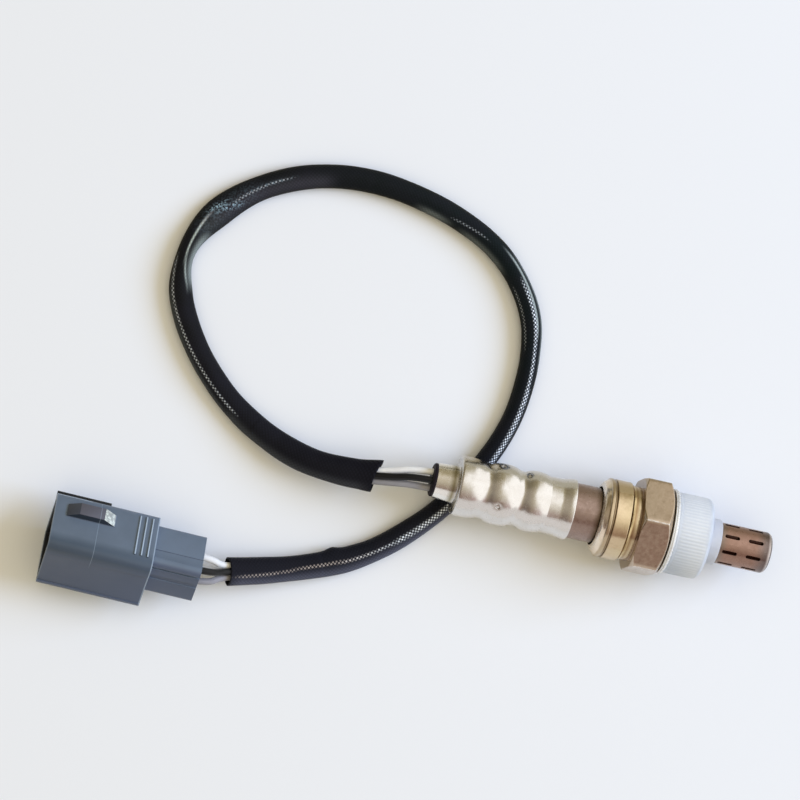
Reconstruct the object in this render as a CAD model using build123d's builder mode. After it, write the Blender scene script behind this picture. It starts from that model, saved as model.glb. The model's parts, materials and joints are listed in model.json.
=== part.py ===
"""Four-wire zirconia oxygen sensor with its sleeved harness and four-way plug.

X runs along the sensor towards the exhaust tip and Z is up. The origin is the centre
of the sealing seat, the front face of the hex. The sensor lies on one corner of its
hex with its shell resting on the sleeve that passes under it.
"""

from build123d import *
from math import atan2, cos, degrees, radians, sin, sqrt, tan
import os

os.makedirs("parts", exist_ok=True)

# ------------------------------------------------------------------ sizes in mm and degrees
RUNNING = 0.05  # clearance between turned or moulded pieces that fit together

# Hex, thread and seat
HEX_FLATS = 22.0
HEX_LENGTH = 7.5
HEX_ROLL = 7.0  # turn of the upper corner away from straight up, towards +Y
HEX_FACE_R = 10.7
HEX_CHAMFER = 32.0
HEX_REAR_R = 11.6
HEX_REAR_CHAMFER = 34.0
THREAD_R = 8.9
THREAD_LENGTH = 9.4
RELIEF_R = 7.9
RELIEF_LENGTH = 1.6
SEAT_BORE_R = 6.3

# Rear collar with its rolled lip
COLLAR_R = 9.7
COLLAR_LENGTH = 9.55
COLLAR_WALL = 1.5
BAND_LENGTH = 3.8  # from the groove to the seam
SEAM_WIDTH = 0.35
SEAM_DEPTH = 0.25
BEAD_LENGTH = 1.1
BEAD_RISE = 0.4
GROOVE_R = 9.1
GROOVE_WIDTH = 2.7
GROOVE_BEVEL = 0.5
LIP_R = 7.25
LIP_THICKNESS = 0.9

# Sealing washer and thread cap
GASKET_R = 10.5
GASKET_BORE_R = 9.0
GASKET_THICKNESS = 1.6
CAP_R = 10.0
CAP_BORE_R = 9.15
CAP_LENGTH = 8.8
CAP_NECK_R = 5.6
CAP_NECK_LENGTH = 3.25

# Slotted protector at the tip and the tube inside it
PROTECTOR_R = 5.04
PROTECTOR_LENGTH = 18.75
PROTECTOR_WALL = 0.5
PROTECTOR_FLANGE_R = 6.6
INNER_PROTECTOR_R = 3.75
INNER_PROTECTOR_LENGTH = 16.9
SLOT_LENGTH = 3.75
SLOT_WIDTH = 0.9
SLOT_PITCH = 6.0
SLOT_ROWS = 2
SLOT_COUNT = 8
TIP_TO_SLOTS = 4.4  # from the closed end to the middle of the first row
LOUVRE_DIP = 0.5
GAS_HOLE_D = 1.2
GAS_HOLE_COUNT = 6

# Ceramic element, heater and the seals round them
ELEMENT_TIP = 21.4
ELEMENT_TIP_R = 2.4
ELEMENT_ROOT_R = 3.1
ELEMENT_FLANGE_R = 6.1
ELEMENT_REAR_R = 3.9
ELEMENT_REAR = -25.0
ELEMENT_BORE_R = 2.2
ELEMENT_TIP_BORE_R = 1.6
HEATER_R = 1.45
HEATER_TIP = 19.4
HEATER_REAR = -34.0
SEAL_BORE_R = 7.3
TALC_LENGTH = 5.95
BUSH_LENGTH = 5.6

# Covers: the crimped outer shell and the tube under it
SHEET = 0.45
INNER_COVER_R = 6.8
INNER_COVER_SHOWS = 6.35  # from the collar's lip to the shell's rim
SHELL_R = 7.4
RIM_LENGTH = 1.4
RIM_TO_CRIMP = 6.35
CRIMP_SPACING = (6.75, 8.5)
CRIMP_R = 6.67
LAST_BULGE = 2.8  # how far behind the last crimp the shell is at its full radius again
CRIMP_TO_SHOULDER = 7.15
SHOULDER_ROUND = 1.5
NECK_FRONT_R = 4.6
NECK_REAR_R = 4.2
NECK_LENGTH = 5.25
VENT_D = 1.0
VENT_FROM_CRIMP = 3.0
VENT_COUNT = 4
VENT_ROLL = 25.0
FILTER_R = 6.1
FILTER_WALL = 0.5

# Terminals, grommet and wires
WIRE_R = 0.85
WIRE_CIRCLE_R = 2.05  # circle of the four wires in the sensor
BUNDLE_CIRCLE_R = 1.27  # and inside the sleeve
SEPARATOR_R = 5.5
SEPARATOR_LENGTH = 9.7
CONTACT_BARREL_R = 1.08
CONTACT_BARREL_LENGTH = 4.2
CONTACT_STRIP = 0.3
CONTACT_WIDTH = 1.0
CLIP_LENGTH = 5.0
GROMMET_STANDS_OUT = 0.8
GROMMET_HEAD = 2.5

# Sleeve
SLEEVE_R = 2.6
SLEEVE_BORE_R = 2.2
SLEEVE_BORE_DEPTH = 2.0

# Plug
PLUG_TURN = -1.3  # about Z
PLUG_ROLL = 40.0  # about its own axis
PLUG_MOUTH = (-145.5, -33.3)
HOOD_SIDE = 16.6
HOOD_ROUND = 2.0
HOOD_WALL = 1.5
HOOD_LENGTH = 25.2
HOOD_DEPTH = 16.0
BODY_SIDE = 11.9
BODY_ROUND = 1.4
BODY_LENGTH = 12.0
BODY_SHIFT = (0.84, 0.71)
PIN_GRID = 2.3
PIN_TIP = 6.0
PIN_BLADE = (1.5, 0.8)
PIN_BARREL_R = 1.2
PIN_BARREL_LENGTH = 14.6
LOCK_THICKNESS = 1.6
SEAL_R = 1.95
SEAL_LENGTH = 5.0
LUG_START = 3.0
LUG_LENGTH = 11.8
LUG_WIDTH = 3.5
LUG_HEIGHT = 1.8
LUG_RAMP = 2.9
LUG_SHIFT = 2.85
RIB_COUNT = 3
RIB_PITCH = 1.55
RIB_WIDTH = 0.45
RIB_HEIGHT = 0.3
RAIL_WIDTH = 1.2
RAIL_HEIGHT = 1.2
RAIL_LENGTH = 13.3

FLOOR = -HEX_FLATS / sqrt(3) * cos(radians(HEX_ROLL))
SLEEVE_Z = FLOOR + SLEEVE_R


def turned(section):
    """A piece turned about X; the closed section's corners are (x, radius, fillet)."""
    with BuildPart() as piece:
        with BuildSketch(Plane.XZ):
            with BuildLine():
                FilletPolyline(
                    *[(x, r) for x, r, _ in section],
                    radius=[fillet for _, _, fillet in section],
                    close=True,
                )
            make_face()
        revolve(axis=Axis.X)
    return piece


def radial_plane(x, angle):
    """A plane at x that faces outwards, at an angle from +Z towards -Y."""
    outwards = (0, -sin(radians(angle)), cos(radians(angle)))
    return Plane(origin=(x, 0, 0), x_dir=(1, 0, 0), z_dir=outwards)


# ------------------------------------------------------------------ housing
front_rise = tan(radians(HEX_CHAMFER))
rear_rise = tan(radians(HEX_REAR_CHAMFER))
hex_turned_r = HEX_FLATS / sqrt(3) + 0.3
collar_bore_r = COLLAR_R - COLLAR_WALL
groove_rear = -HEX_LENGTH - GROOVE_WIDTH
seam_front = groove_rear - BAND_LENGTH
bead_front = seam_front - SEAM_WIDTH
bead_rear = bead_front - BEAD_LENGTH
collar_rear = -HEX_LENGTH - COLLAR_LENGTH
lip_front = collar_rear + LIP_THICKNESS
nose_seat = THREAD_LENGTH - 1.35
nose_bore_r = SEAT_BORE_R - 1.3
flange_bore_r = PROTECTOR_FLANGE_R + RUNNING
flange_lip = nose_seat + 2 * PROTECTOR_WALL + RUNNING
talc_front = -3.0
talc_rear = talc_front - TALC_LENGTH - RUNNING
bush_step = talc_rear - 2.0

housing_blank = turned(
    [
        (collar_rear, LIP_R, 0),
        (collar_rear + 0.5, LIP_R + 1.3, 0.8),
        (bead_rear, COLLAR_R - BEAD_RISE, 0),
        (bead_rear + 0.15, COLLAR_R, 0),
        (bead_front, COLLAR_R, 0),
        (bead_front + SEAM_WIDTH / 3, COLLAR_R - SEAM_DEPTH, 0),
        (seam_front - SEAM_WIDTH / 3, COLLAR_R - SEAM_DEPTH, 0),
        (seam_front, COLLAR_R, 0),
        (groove_rear, COLLAR_R, 0),
        (groove_rear + GROOVE_BEVEL, GROOVE_R, 0),
        (-HEX_LENGTH, GROOVE_R, 0),
        (-HEX_LENGTH, HEX_REAR_R, 0),
        (-HEX_LENGTH + (hex_turned_r - HEX_REAR_R) * rear_rise, hex_turned_r, 0),
        ((HEX_FACE_R - hex_turned_r) * front_rise, hex_turned_r, 0),
        (0, HEX_FACE_R, 0),
        (0, RELIEF_R, 0),
        (RELIEF_LENGTH, RELIEF_R, 0),
        (RELIEF_LENGTH + THREAD_R - RELIEF_R, THREAD_R, 0),
        (THREAD_LENGTH - 0.7, THREAD_R, 0),
        (THREAD_LENGTH, THREAD_R - 0.7, 0),
        (THREAD_LENGTH, PROTECTOR_R + 3 * RUNNING, 0),
        (flange_lip, PROTECTOR_R + 3 * RUNNING, 0),
        (flange_lip, flange_bore_r, 0),
        (nose_seat, flange_bore_r, 0),
        (nose_seat, nose_bore_r, 0),
        (4.6, nose_bore_r, 0),
        (2.6, SEAT_BORE_R, 0),
        (talc_front, SEAT_BORE_R, 0),
        (talc_front, SEAL_BORE_R, 0),
        (bush_step, SEAL_BORE_R, 0),
        (bush_step, collar_bore_r, 0),
        (lip_front, collar_bore_r, 0),
        (lip_front, LIP_R, 0),
    ]
)
with BuildPart() as housing:
    add(housing_blank.part)
    with BuildSketch(Plane.YZ.offset(groove_rear)):
        Circle(hex_turned_r + 1)
        RegularPolygon(
            HEX_FLATS / 2, 6, major_radius=False, rotation=90 - HEX_ROLL, mode=Mode.SUBTRACT
        )
    extrude(amount=-groove_rear, mode=Mode.SUBTRACT)

# ------------------------------------------------------------------ washer and thread cap
gasket_ring = turned(
    [
        (0, GASKET_BORE_R, 0),
        (0, GASKET_R, 0.8),
        (GASKET_THICKNESS, GASKET_R, 0.8),
        (GASKET_THICKNESS, GASKET_BORE_R, 0),
    ]
)

cap_rear = GASKET_THICKNESS + RUNNING
cap_front = cap_rear + CAP_LENGTH
cap_neck_front = cap_front + CAP_NECK_LENGTH
cap_wall = CAP_R - CAP_BORE_R
thread_cap = turned(
    [
        (cap_rear, CAP_BORE_R, 0),
        (cap_rear, CAP_R, 0),
        (cap_front, CAP_R, 0.6),
        (cap_front, CAP_NECK_R, 0),
        (cap_neck_front, CAP_NECK_R, 0),
        (cap_neck_front, PROTECTOR_R + RUNNING, 0),
        (max(THREAD_LENGTH, cap_front - cap_wall) + RUNNING, PROTECTOR_R + RUNNING, 0),
        (max(THREAD_LENGTH, cap_front - cap_wall) + RUNNING, CAP_BORE_R, 0),
    ]
)

# ------------------------------------------------------------------ protectors
protector_bore = PROTECTOR_R - PROTECTOR_WALL
outer_flange = nose_seat + PROTECTOR_WALL
protector_end = nose_seat + PROTECTOR_LENGTH
slot_rows = [protector_end - TIP_TO_SLOTS - row * SLOT_PITCH for row in range(SLOT_ROWS)]
slot_step = 360 / SLOT_COUNT

protector_blank = turned(
    [
        (outer_flange, protector_bore, 0),
        (outer_flange, PROTECTOR_FLANGE_R, 0),
        (outer_flange + PROTECTOR_WALL, PROTECTOR_FLANGE_R, 0),
        (outer_flange + PROTECTOR_WALL, PROTECTOR_R, 0),
        (protector_end, PROTECTOR_R, 1.3),
        (protector_end, 0, 0),
        (protector_end - PROTECTOR_WALL, 0, 0),
        (protector_end - PROTECTOR_WALL, protector_bore, 0),
    ]
)
with BuildPart() as outer_protector:
    add(protector_blank.part)
    for row in slot_rows:
        for number in range(SLOT_COUNT // 2):
            with BuildSketch(radial_plane(row, (number + 0.5) * slot_step)):
                SlotOverall(SLOT_LENGTH, SLOT_WIDTH)
            extrude(amount=PROTECTOR_R + 1, both=True, mode=Mode.SUBTRACT)
        # one long edge of every slot is pressed inwards as a louvre
        louvre = SLOT_LENGTH - SLOT_WIDTH
        with BuildSketch(Plane.YZ.offset(row - louvre / 2)):
            with PolarLocations(0, SLOT_COUNT, start_angle=slot_step / 2):
                Polygon(
                    (protector_bore + 0.1, -SLOT_WIDTH / 2 - 0.25),
                    (protector_bore + 0.1, -SLOT_WIDTH / 2),
                    (protector_bore - LOUVRE_DIP + 0.2, 0),
                    (protector_bore - LOUVRE_DIP, -SLOT_WIDTH / 8),
                    (protector_bore - 0.1, -SLOT_WIDTH / 2 - 0.25),
                    align=None,
                )
        extrude(amount=louvre)

inner_bore = INNER_PROTECTOR_R - PROTECTOR_WALL
inner_protector_end = nose_seat + INNER_PROTECTOR_LENGTH
inner_protector_blank = turned(
    [
        (nose_seat, inner_bore, 0),
        (nose_seat, PROTECTOR_FLANGE_R, 0),
        (outer_flange, PROTECTOR_FLANGE_R, 0),
        (outer_flange, INNER_PROTECTOR_R, 0),
        (inner_protector_end, INNER_PROTECTOR_R, 0.8),
        (inner_protector_end, 0, 0),
        (inner_protector_end - PROTECTOR_WALL, 0, 0),
        (inner_protector_end - PROTECTOR_WALL, inner_bore, 0),
    ]
)
with BuildPart() as inner_protector:
    add(inner_protector_blank.part)
    for row in slot_rows:
        for number in range(GAS_HOLE_COUNT // 2):
            hole = radial_plane(row - SLOT_PITCH / 2, number * 360 / GAS_HOLE_COUNT)
            with BuildSketch(hole):
                Circle(GAS_HOLE_D / 2)
            extrude(amount=INNER_PROTECTOR_R + 1, both=True, mode=Mode.SUBTRACT)

# ------------------------------------------------------------------ element, heater and seals
heater_rod = turned(
    [
        (HEATER_REAR, 0, 0),
        (HEATER_REAR, HEATER_R, 0),
        (HEATER_TIP, HEATER_R, 0),
        (HEATER_TIP, 0, 0),
    ]
)

flange_taper = ELEMENT_FLANGE_R - ELEMENT_REAR_R - 0.5
zirconia_element = turned(
    [
        (ELEMENT_REAR, ELEMENT_BORE_R, 0),
        (ELEMENT_REAR, ELEMENT_REAR_R, 0),
        (talc_front + 0.2 - flange_taper, ELEMENT_REAR_R, 0),
        (talc_front + 0.2, ELEMENT_FLANGE_R, 0),
        (2.3, ELEMENT_FLANGE_R, 0),
        (4.1, ELEMENT_FLANGE_R - 1.17, 0),
        (4.6, ELEMENT_ROOT_R, 0),
        (ELEMENT_TIP, ELEMENT_TIP_R, 1.4),
        (ELEMENT_TIP, 0, 0),
        (ELEMENT_TIP - 1.4, 0, 0),
        (ELEMENT_TIP - 1.4, ELEMENT_TIP_BORE_R, 0),
        (talc_front, ELEMENT_BORE_R, 0),
    ]
)

seat_packing = turned(
    [
        (2.45, ELEMENT_FLANGE_R + RUNNING, 0),
        (2.6, SEAT_BORE_R - RUNNING, 0),
        (4.55, nose_bore_r + 0.03, 0),
        (4.35, ELEMENT_FLANGE_R - 1.25, 0),
    ]
)

talc_seal = turned(
    [
        (talc_rear, ELEMENT_REAR_R + RUNNING, 0),
        (talc_rear, SEAL_BORE_R - RUNNING, 0),
        (talc_front - RUNNING, SEAL_BORE_R - RUNNING, 0),
        (talc_front - RUNNING, ELEMENT_FLANGE_R - 0.25, 0),
        (talc_front + 0.1 - flange_taper, ELEMENT_REAR_R + RUNNING, 0),
    ]
)

bush_rear = talc_rear - BUSH_LENGTH
ceramic_bush = turned(
    [
        (bush_rear, ELEMENT_REAR_R + RUNNING, 0),
        (bush_rear, collar_bore_r - RUNNING, 0),
        (bush_step - RUNNING, collar_bore_r - RUNNING, 0),
        (bush_step - RUNNING, SEAL_BORE_R - RUNNING, 0),
        (talc_rear, SEAL_BORE_R - RUNNING, 0),
        (talc_rear, ELEMENT_REAR_R + RUNNING, 0),
    ]
)

flange_front = bush_rear - RUNNING
flange_rear = flange_front - SHEET
crimp_ring = turned(
    [
        (lip_front, INNER_COVER_R + 2 * RUNNING, 0),
        (lip_front, collar_bore_r - RUNNING, 0),
        (flange_rear, collar_bore_r - RUNNING, 0),
        (flange_rear, INNER_COVER_R + 2 * RUNNING, 0),
    ]
)

# ------------------------------------------------------------------ covers
cover_front = collar_rear - INNER_COVER_SHOWS
rim_rear = cover_front - RIM_LENGTH
first_crimp = cover_front - RIM_TO_CRIMP
crimps = [first_crimp - sum(CRIMP_SPACING[:number]) for number in range(len(CRIMP_SPACING) + 1)]
shoulder = crimps[-1] - CRIMP_TO_SHOULDER
neck_rear = shoulder - NECK_LENGTH
backwards = (-1, 0)


def crimped_line(start, count, inset):
    """Points from a start along the first crimps and the bulges between them, moved inwards."""
    middle_r = (SHELL_R + CRIMP_R) / 2 - inset
    points = [start, (crimps[0], CRIMP_R - inset)]
    for crimp, after in zip(crimps[: count - 1], crimps[1:]):
        step = (after - crimp) / 4
        points += [
            (crimp + step, middle_r),
            (crimp + 2 * step, SHELL_R - inset),
            (crimp + 3 * step, middle_r),
            (after, CRIMP_R - inset),
        ]
    return points


def last_bulge(inset):
    """Points from the last crimp out to the shell's rear part, moved inwards."""
    return [
        (crimps[-1] - LAST_BULGE / 2, (SHELL_R + CRIMP_R) / 2 - inset),
        (crimps[-1] - LAST_BULGE, SHELL_R - inset),
    ]


with BuildPart() as outer_cover:
    with BuildSketch(Plane.XZ):
        with BuildLine():
            outside = Spline(
                *crimped_line((rim_rear, SHELL_R + 0.1), len(crimps), 0),
                *last_bulge(0),
                tangents=[backwards, backwards],
            )
            inside = Spline(
                *crimped_line((rim_rear, SHELL_R - SHEET), len(crimps), SHEET),
                *last_bulge(SHEET),
                tangents=[backwards, backwards],
            )
            FilletPolyline(
                outside @ 1,
                (shoulder, SHELL_R),
                (shoulder, NECK_FRONT_R),
                (neck_rear, NECK_REAR_R),
                (neck_rear, NECK_REAR_R - SHEET),
                (shoulder + SHEET, NECK_FRONT_R - SHEET),
                (shoulder + SHEET, SHELL_R - SHEET),
                inside @ 1,
                radius=[SHOULDER_ROUND, 0.25, 0, 0, 0, SHOULDER_ROUND - SHEET],
            )
            # the rim is hemmed: its outer edge is rolled down to the inner cover
            FilletPolyline(
                outside @ 0,
                (cover_front, SHELL_R + 0.1),
                (cover_front, SHELL_R - SHEET),
                inside @ 0,
                radius=[0.5, 0],
            )
        make_face()
    revolve(axis=Axis.X)
    for number in range(VENT_COUNT // 2):
        vent = radial_plane(crimps[-1] + VENT_FROM_CRIMP, VENT_ROLL + number * 360 / VENT_COUNT)
        with BuildSketch(vent):
            Circle(VENT_D / 2)
        extrude(amount=SHELL_R + 1, both=True, mode=Mode.SUBTRACT)

cover_gap = SHEET + 2 * RUNNING
with BuildPart() as inner_cover:
    with BuildSketch(Plane.XZ):
        with BuildLine():
            outside = Spline(
                *crimped_line((rim_rear, INNER_COVER_R), 2, cover_gap),
                tangents=[backwards, backwards],
            )
            inside = Spline(
                *crimped_line((rim_rear, INNER_COVER_R - SHEET), 2, cover_gap + SHEET),
                tangents=[backwards, backwards],
            )
            Polyline(
                outside @ 0,
                (flange_rear, INNER_COVER_R),
                (flange_rear, collar_bore_r - RUNNING),
                (flange_front, collar_bore_r - RUNNING),
                (flange_front, INNER_COVER_R - SHEET),
                inside @ 0,
            )
            Line(outside @ 1, inside @ 1)
        make_face()
    revolve(axis=Axis.X)

filter_rear, filter_front = crimps[-1] - 2.2, crimps[1] - 0.6
air_filter = turned(
    [
        (filter_rear, FILTER_R - FILTER_WALL, 0),
        (filter_rear, FILTER_R, 0),
        (filter_front, FILTER_R, 0),
        (filter_front, FILTER_R - FILTER_WALL, 0),
    ]
)

# ------------------------------------------------------------------ terminals and grommet
upwards_from = (Align.CENTER, Align.CENTER, Align.MIN)
grommet_rear = neck_rear - GROMMET_STANDS_OUT
grommet_front = shoulder + SHEET + GROMMET_HEAD
separator_rear = grommet_front + RUNNING
wire_start = separator_rear + 1.7
barrel_rear = wire_start - 0.8

with BuildPart() as terminal_separator:
    with Locations(Plane.YZ.offset(separator_rear)):
        Cylinder(SEPARATOR_R, SEPARATOR_LENGTH, align=upwards_from)
        with PolarLocations(WIRE_CIRCLE_R, 4):
            Cylinder(
                CONTACT_BARREL_R + 2 * RUNNING,
                SEPARATOR_LENGTH,
                align=upwards_from,
                mode=Mode.SUBTRACT,
            )


def contact(side_y, side_z, strip, clip=None):
    """A crimp barrel at one wire with a bent strip, and a split ring where it has one.

    The strip's line is a list of (x, radius) points along its inner face, in the plane
    through the sensor's axis and the wire. The ring is (rear end, inner radius).
    """
    wire_centre = Location((side_y * WIRE_CIRCLE_R, side_z * WIRE_CIRCLE_R, 0))
    strip_plane = Plane(
        origin=(0, 0, 0), x_dir=(1, 0, 0), z_dir=Vector(1, 0, 0).cross(Vector(0, side_y, side_z))
    )
    with BuildPart() as piece:
        with Locations(Plane.YZ.offset(barrel_rear) * wire_centre):
            Cylinder(CONTACT_BARREL_R, CONTACT_BARREL_LENGTH + 0.3, align=upwards_from)
            Cylinder(
                WIRE_R + 0.04, CONTACT_BARREL_LENGTH, align=upwards_from, mode=Mode.SUBTRACT
            )
        with BuildSketch(strip_plane):
            with BuildLine():
                Polyline(
                    *strip,
                    *[(x, r + CONTACT_STRIP) for x, r in reversed(strip)],
                    close=True,
                )
            make_face()
        extrude(amount=CONTACT_WIDTH / 2, both=True)
        if clip:
            clip_rear, clip_r = clip
            with BuildSketch(Plane.YZ.offset(clip_rear)):
                Circle(clip_r + CONTACT_STRIP)
                Circle(clip_r, mode=Mode.SUBTRACT)
                with Locations(Rotation(0, 0, degrees(atan2(-side_z, -side_y)))):
                    Rectangle(
                        2 * clip_r, 0.8, align=(Align.MIN, Align.CENTER), mode=Mode.SUBTRACT
                    )
            extrude(amount=CLIP_LENGTH)
    return piece


strip_r = WIRE_CIRCLE_R - CONTACT_STRIP / 2
strip_root = (barrel_rear + CONTACT_BARREL_LENGTH + 0.1, strip_r)
pad_r = HEATER_R + 0.07
signal_r = ELEMENT_BORE_R - RUNNING - CONTACT_STRIP
ground_r = ELEMENT_REAR_R + RUNNING
heater_strip = [
    strip_root,
    (HEATER_REAR - 4.0, strip_r),
    (HEATER_REAR - 1.5, pad_r),
    (HEATER_REAR + 4.2, pad_r),
]
signal_strip = [
    strip_root,
    (ELEMENT_REAR - 13.0, strip_r),
    (ELEMENT_REAR - 11.0, signal_r),
    (ELEMENT_REAR - 1.0, signal_r),
]
ground_strip = [
    strip_root,
    (ELEMENT_REAR - 14.0, strip_r),
    (ELEMENT_REAR - 6.0, ground_r),
    (ELEMENT_REAR, ground_r),
]
heater_contact_1 = contact(1, 0, heater_strip)
heater_contact_2 = contact(0, -1, heater_strip)
signal_contact = contact(0, 1, signal_strip, (ELEMENT_REAR - 2.0, signal_r))
ground_contact = contact(-1, 0, ground_strip, (ELEMENT_REAR - 1.0, ground_r))

grommet_head_r = SHELL_R - SHEET - 1.2
grommet_blank = turned(
    [
        (grommet_rear, 0, 0),
        (grommet_rear, NECK_REAR_R - 0.1, 0.5),
        (neck_rear - RUNNING, NECK_REAR_R - 0.1, 0),
        (neck_rear - RUNNING, NECK_REAR_R - SHEET - 2 * RUNNING, 0),
        (shoulder + SHEET, NECK_FRONT_R - SHEET - 2 * RUNNING, 0),
        (shoulder + SHEET + RUNNING, grommet_head_r, 0),
        (grommet_front, grommet_head_r, 0),
        (grommet_front, 0, 0),
    ]
)
with BuildPart() as grommet:
    add(grommet_blank.part)
    with Locations(Plane.YZ.offset(grommet_rear)):
        with PolarLocations(WIRE_CIRCLE_R, 4):
            Cylinder(
                WIRE_R + RUNNING,
                grommet_front - grommet_rear,
                align=upwards_from,
                mode=Mode.SUBTRACT,
            )

# ------------------------------------------------------------------ plug
plug_turn = radians(PLUG_TURN)
plug_roll = radians(PLUG_ROLL)
half_height = HOOD_SIDE / 2 * (cos(plug_roll) + sin(plug_roll)) - HOOD_ROUND * (
    cos(plug_roll) + sin(plug_roll) - 1
)
plug_z = FLOOR + half_height
plug_axis = Vector(cos(plug_turn), sin(plug_turn), 0)
plug_side = Vector(-sin(plug_turn), cos(plug_turn), 0) * cos(plug_roll) - Vector(0, 0, sin(plug_roll))
mouth = Plane(origin=(*PLUG_MOUTH, plug_z), x_dir=plug_side, z_dir=plug_axis)
plug_end = HOOD_LENGTH + BODY_LENGTH
cavities = [
    (BODY_SHIFT[0] + side * PIN_GRID, BODY_SHIFT[1] + rise * PIN_GRID)
    for side, rise in ((1, -1), (1, 1), (-1, 1), (-1, -1))
]
pin_rear = HOOD_DEPTH + PIN_BARREL_LENGTH
hood_top = HOOD_SIDE / 2

with BuildPart() as connector_housing:
    with BuildSketch(mouth):
        RectangleRounded(HOOD_SIDE, HOOD_SIDE, HOOD_ROUND)
    extrude(amount=HOOD_LENGTH)
    with BuildSketch(mouth):
        RectangleRounded(HOOD_SIDE - 2 * HOOD_WALL, HOOD_SIDE - 2 * HOOD_WALL, 0.8)
    extrude(amount=HOOD_DEPTH, mode=Mode.SUBTRACT)
    with BuildSketch(mouth.offset(HOOD_LENGTH)):
        with Locations(BODY_SHIFT):
            RectangleRounded(BODY_SIDE, BODY_SIDE, BODY_ROUND)
    extrude(amount=BODY_LENGTH)
    # bores for the blades' barrels and wider ones for the wire seals
    with BuildSketch(mouth.offset(plug_end)):
        with Locations(*cavities):
            Circle(PIN_BARREL_R + RUNNING)
    extrude(amount=HOOD_DEPTH - plug_end, mode=Mode.SUBTRACT)
    with BuildSketch(mouth.offset(plug_end)):
        with Locations(*cavities):
            Circle(SEAL_R + RUNNING)
    extrude(amount=-SEAL_LENGTH - 0.5, mode=Mode.SUBTRACT)
    # lower step along the left side, and the groove that runs on along the body
    with BuildSketch(mouth):
        with Locations((-HOOD_SIDE / 2, -HOOD_ROUND / 2)):
            Rectangle(0.6, HOOD_SIDE - 3 * HOOD_ROUND)
    extrude(amount=HOOD_LENGTH, mode=Mode.SUBTRACT)
    with BuildSketch(mouth.offset(HOOD_LENGTH)):
        with Locations((BODY_SHIFT[0] - BODY_SIDE / 2, BODY_SHIFT[1] + BODY_SIDE / 2 - 2.2)):
            Rectangle(0.9, 0.5)
        with Locations((BODY_SHIFT[0] - BODY_SIDE / 2, BODY_SHIFT[1] + BODY_SIDE / 2 - 5.4)):
            Rectangle(0.5, 1.4)
        with Locations((BODY_SHIFT[0] - BODY_SIDE / 4, BODY_SHIFT[1] + BODY_SIDE / 2)):
            Rectangle(2.2, 0.4)
    extrude(amount=BODY_LENGTH, mode=Mode.SUBTRACT)
    # lock ramp on the top, cut from the side
    lug_end = LUG_START + LUG_LENGTH
    lug_plane = Plane(
        origin=mouth.from_local_coords((LUG_SHIFT + LUG_WIDTH / 2, 0, 0)),
        x_dir=mouth.z_dir,
        z_dir=-mouth.x_dir,
    )
    with BuildSketch(lug_plane):
        with BuildLine():
            Polyline(
                (LUG_START, hood_top - 0.2),
                (LUG_START, hood_top + 0.35),
                (LUG_START + LUG_RAMP, hood_top + LUG_HEIGHT),
                (lug_end - LUG_RAMP, hood_top + LUG_HEIGHT),
                (lug_end, hood_top + 0.1),
                (lug_end, hood_top - 0.2),
                close=True,
            )
        make_face()
    extrude(amount=LUG_WIDTH)
    # grip ribs across the top
    for number in range(RIB_COUNT):
        with BuildSketch(mouth.offset(HOOD_LENGTH - 1.0 - (number + 0.5) * RIB_PITCH)):
            with Locations((0.4, hood_top)):
                Rectangle(HOOD_SIDE - 2.4 * HOOD_ROUND, 2 * RIB_HEIGHT)
        extrude(amount=RIB_WIDTH)
    # guide rail on the right side
    with BuildSketch(mouth):
        with Locations((hood_top, hood_top - HOOD_ROUND - RAIL_WIDTH / 2)):
            Rectangle(RAIL_HEIGHT + 0.2, RAIL_WIDTH, align=(Align.MIN, Align.CENTER))
            Rectangle(0.4, RAIL_WIDTH)
    extrude(amount=RAIL_LENGTH)

# lock plate on the floor of the hood
with BuildPart() as terminal_lock:
    with BuildSketch(mouth.offset(HOOD_DEPTH - LOCK_THICKNESS)):
        RectangleRounded(HOOD_SIDE - 2 * HOOD_WALL - 0.4, HOOD_SIDE - 2 * HOOD_WALL - 0.4, 0.7)
        with Locations(*cavities):
            Rectangle(PIN_BLADE[0] + 0.2, PIN_BLADE[1] + 0.2, mode=Mode.SUBTRACT)
    extrude(amount=LOCK_THICKNESS)
terminal_lock.part.label = "terminal_lock"
export_step(terminal_lock.part, "parts/terminal_lock.step")

for number, cavity in enumerate(cavities, start=1):
    with BuildPart() as pin:
        with BuildSketch(mouth.offset(PIN_TIP)):
            with Locations(cavity):
                Rectangle(*PIN_BLADE)
        extrude(amount=HOOD_DEPTH - PIN_TIP)
        chamfer(pin.faces().sort_by(Axis(mouth.origin, plug_axis))[0].edges(), 0.2)
        with BuildSketch(mouth.offset(HOOD_DEPTH)):
            with Locations(cavity):
                Circle(PIN_BARREL_R)
        extrude(amount=pin_rear - HOOD_DEPTH)
        with BuildSketch(mouth.offset(pin_rear)):
            with Locations(cavity):
                Circle(WIRE_R + 0.04)
        extrude(amount=-4.0, mode=Mode.SUBTRACT)
    pin.part.label = f"pin_{number}"
    export_step(pin.part, f"parts/pin_{number}.step")

    with BuildPart() as wire_seal:
        with BuildSketch(mouth.offset(plug_end - 0.4)):
            with Locations(cavity):
                Circle(SEAL_R)
                Circle(WIRE_R + RUNNING, mode=Mode.SUBTRACT)
        extrude(amount=-SEAL_LENGTH)
    wire_seal.part.label = f"wire_seal_{number}"
    export_step(wire_seal.part, f"parts/wire_seal_{number}.step")

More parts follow.
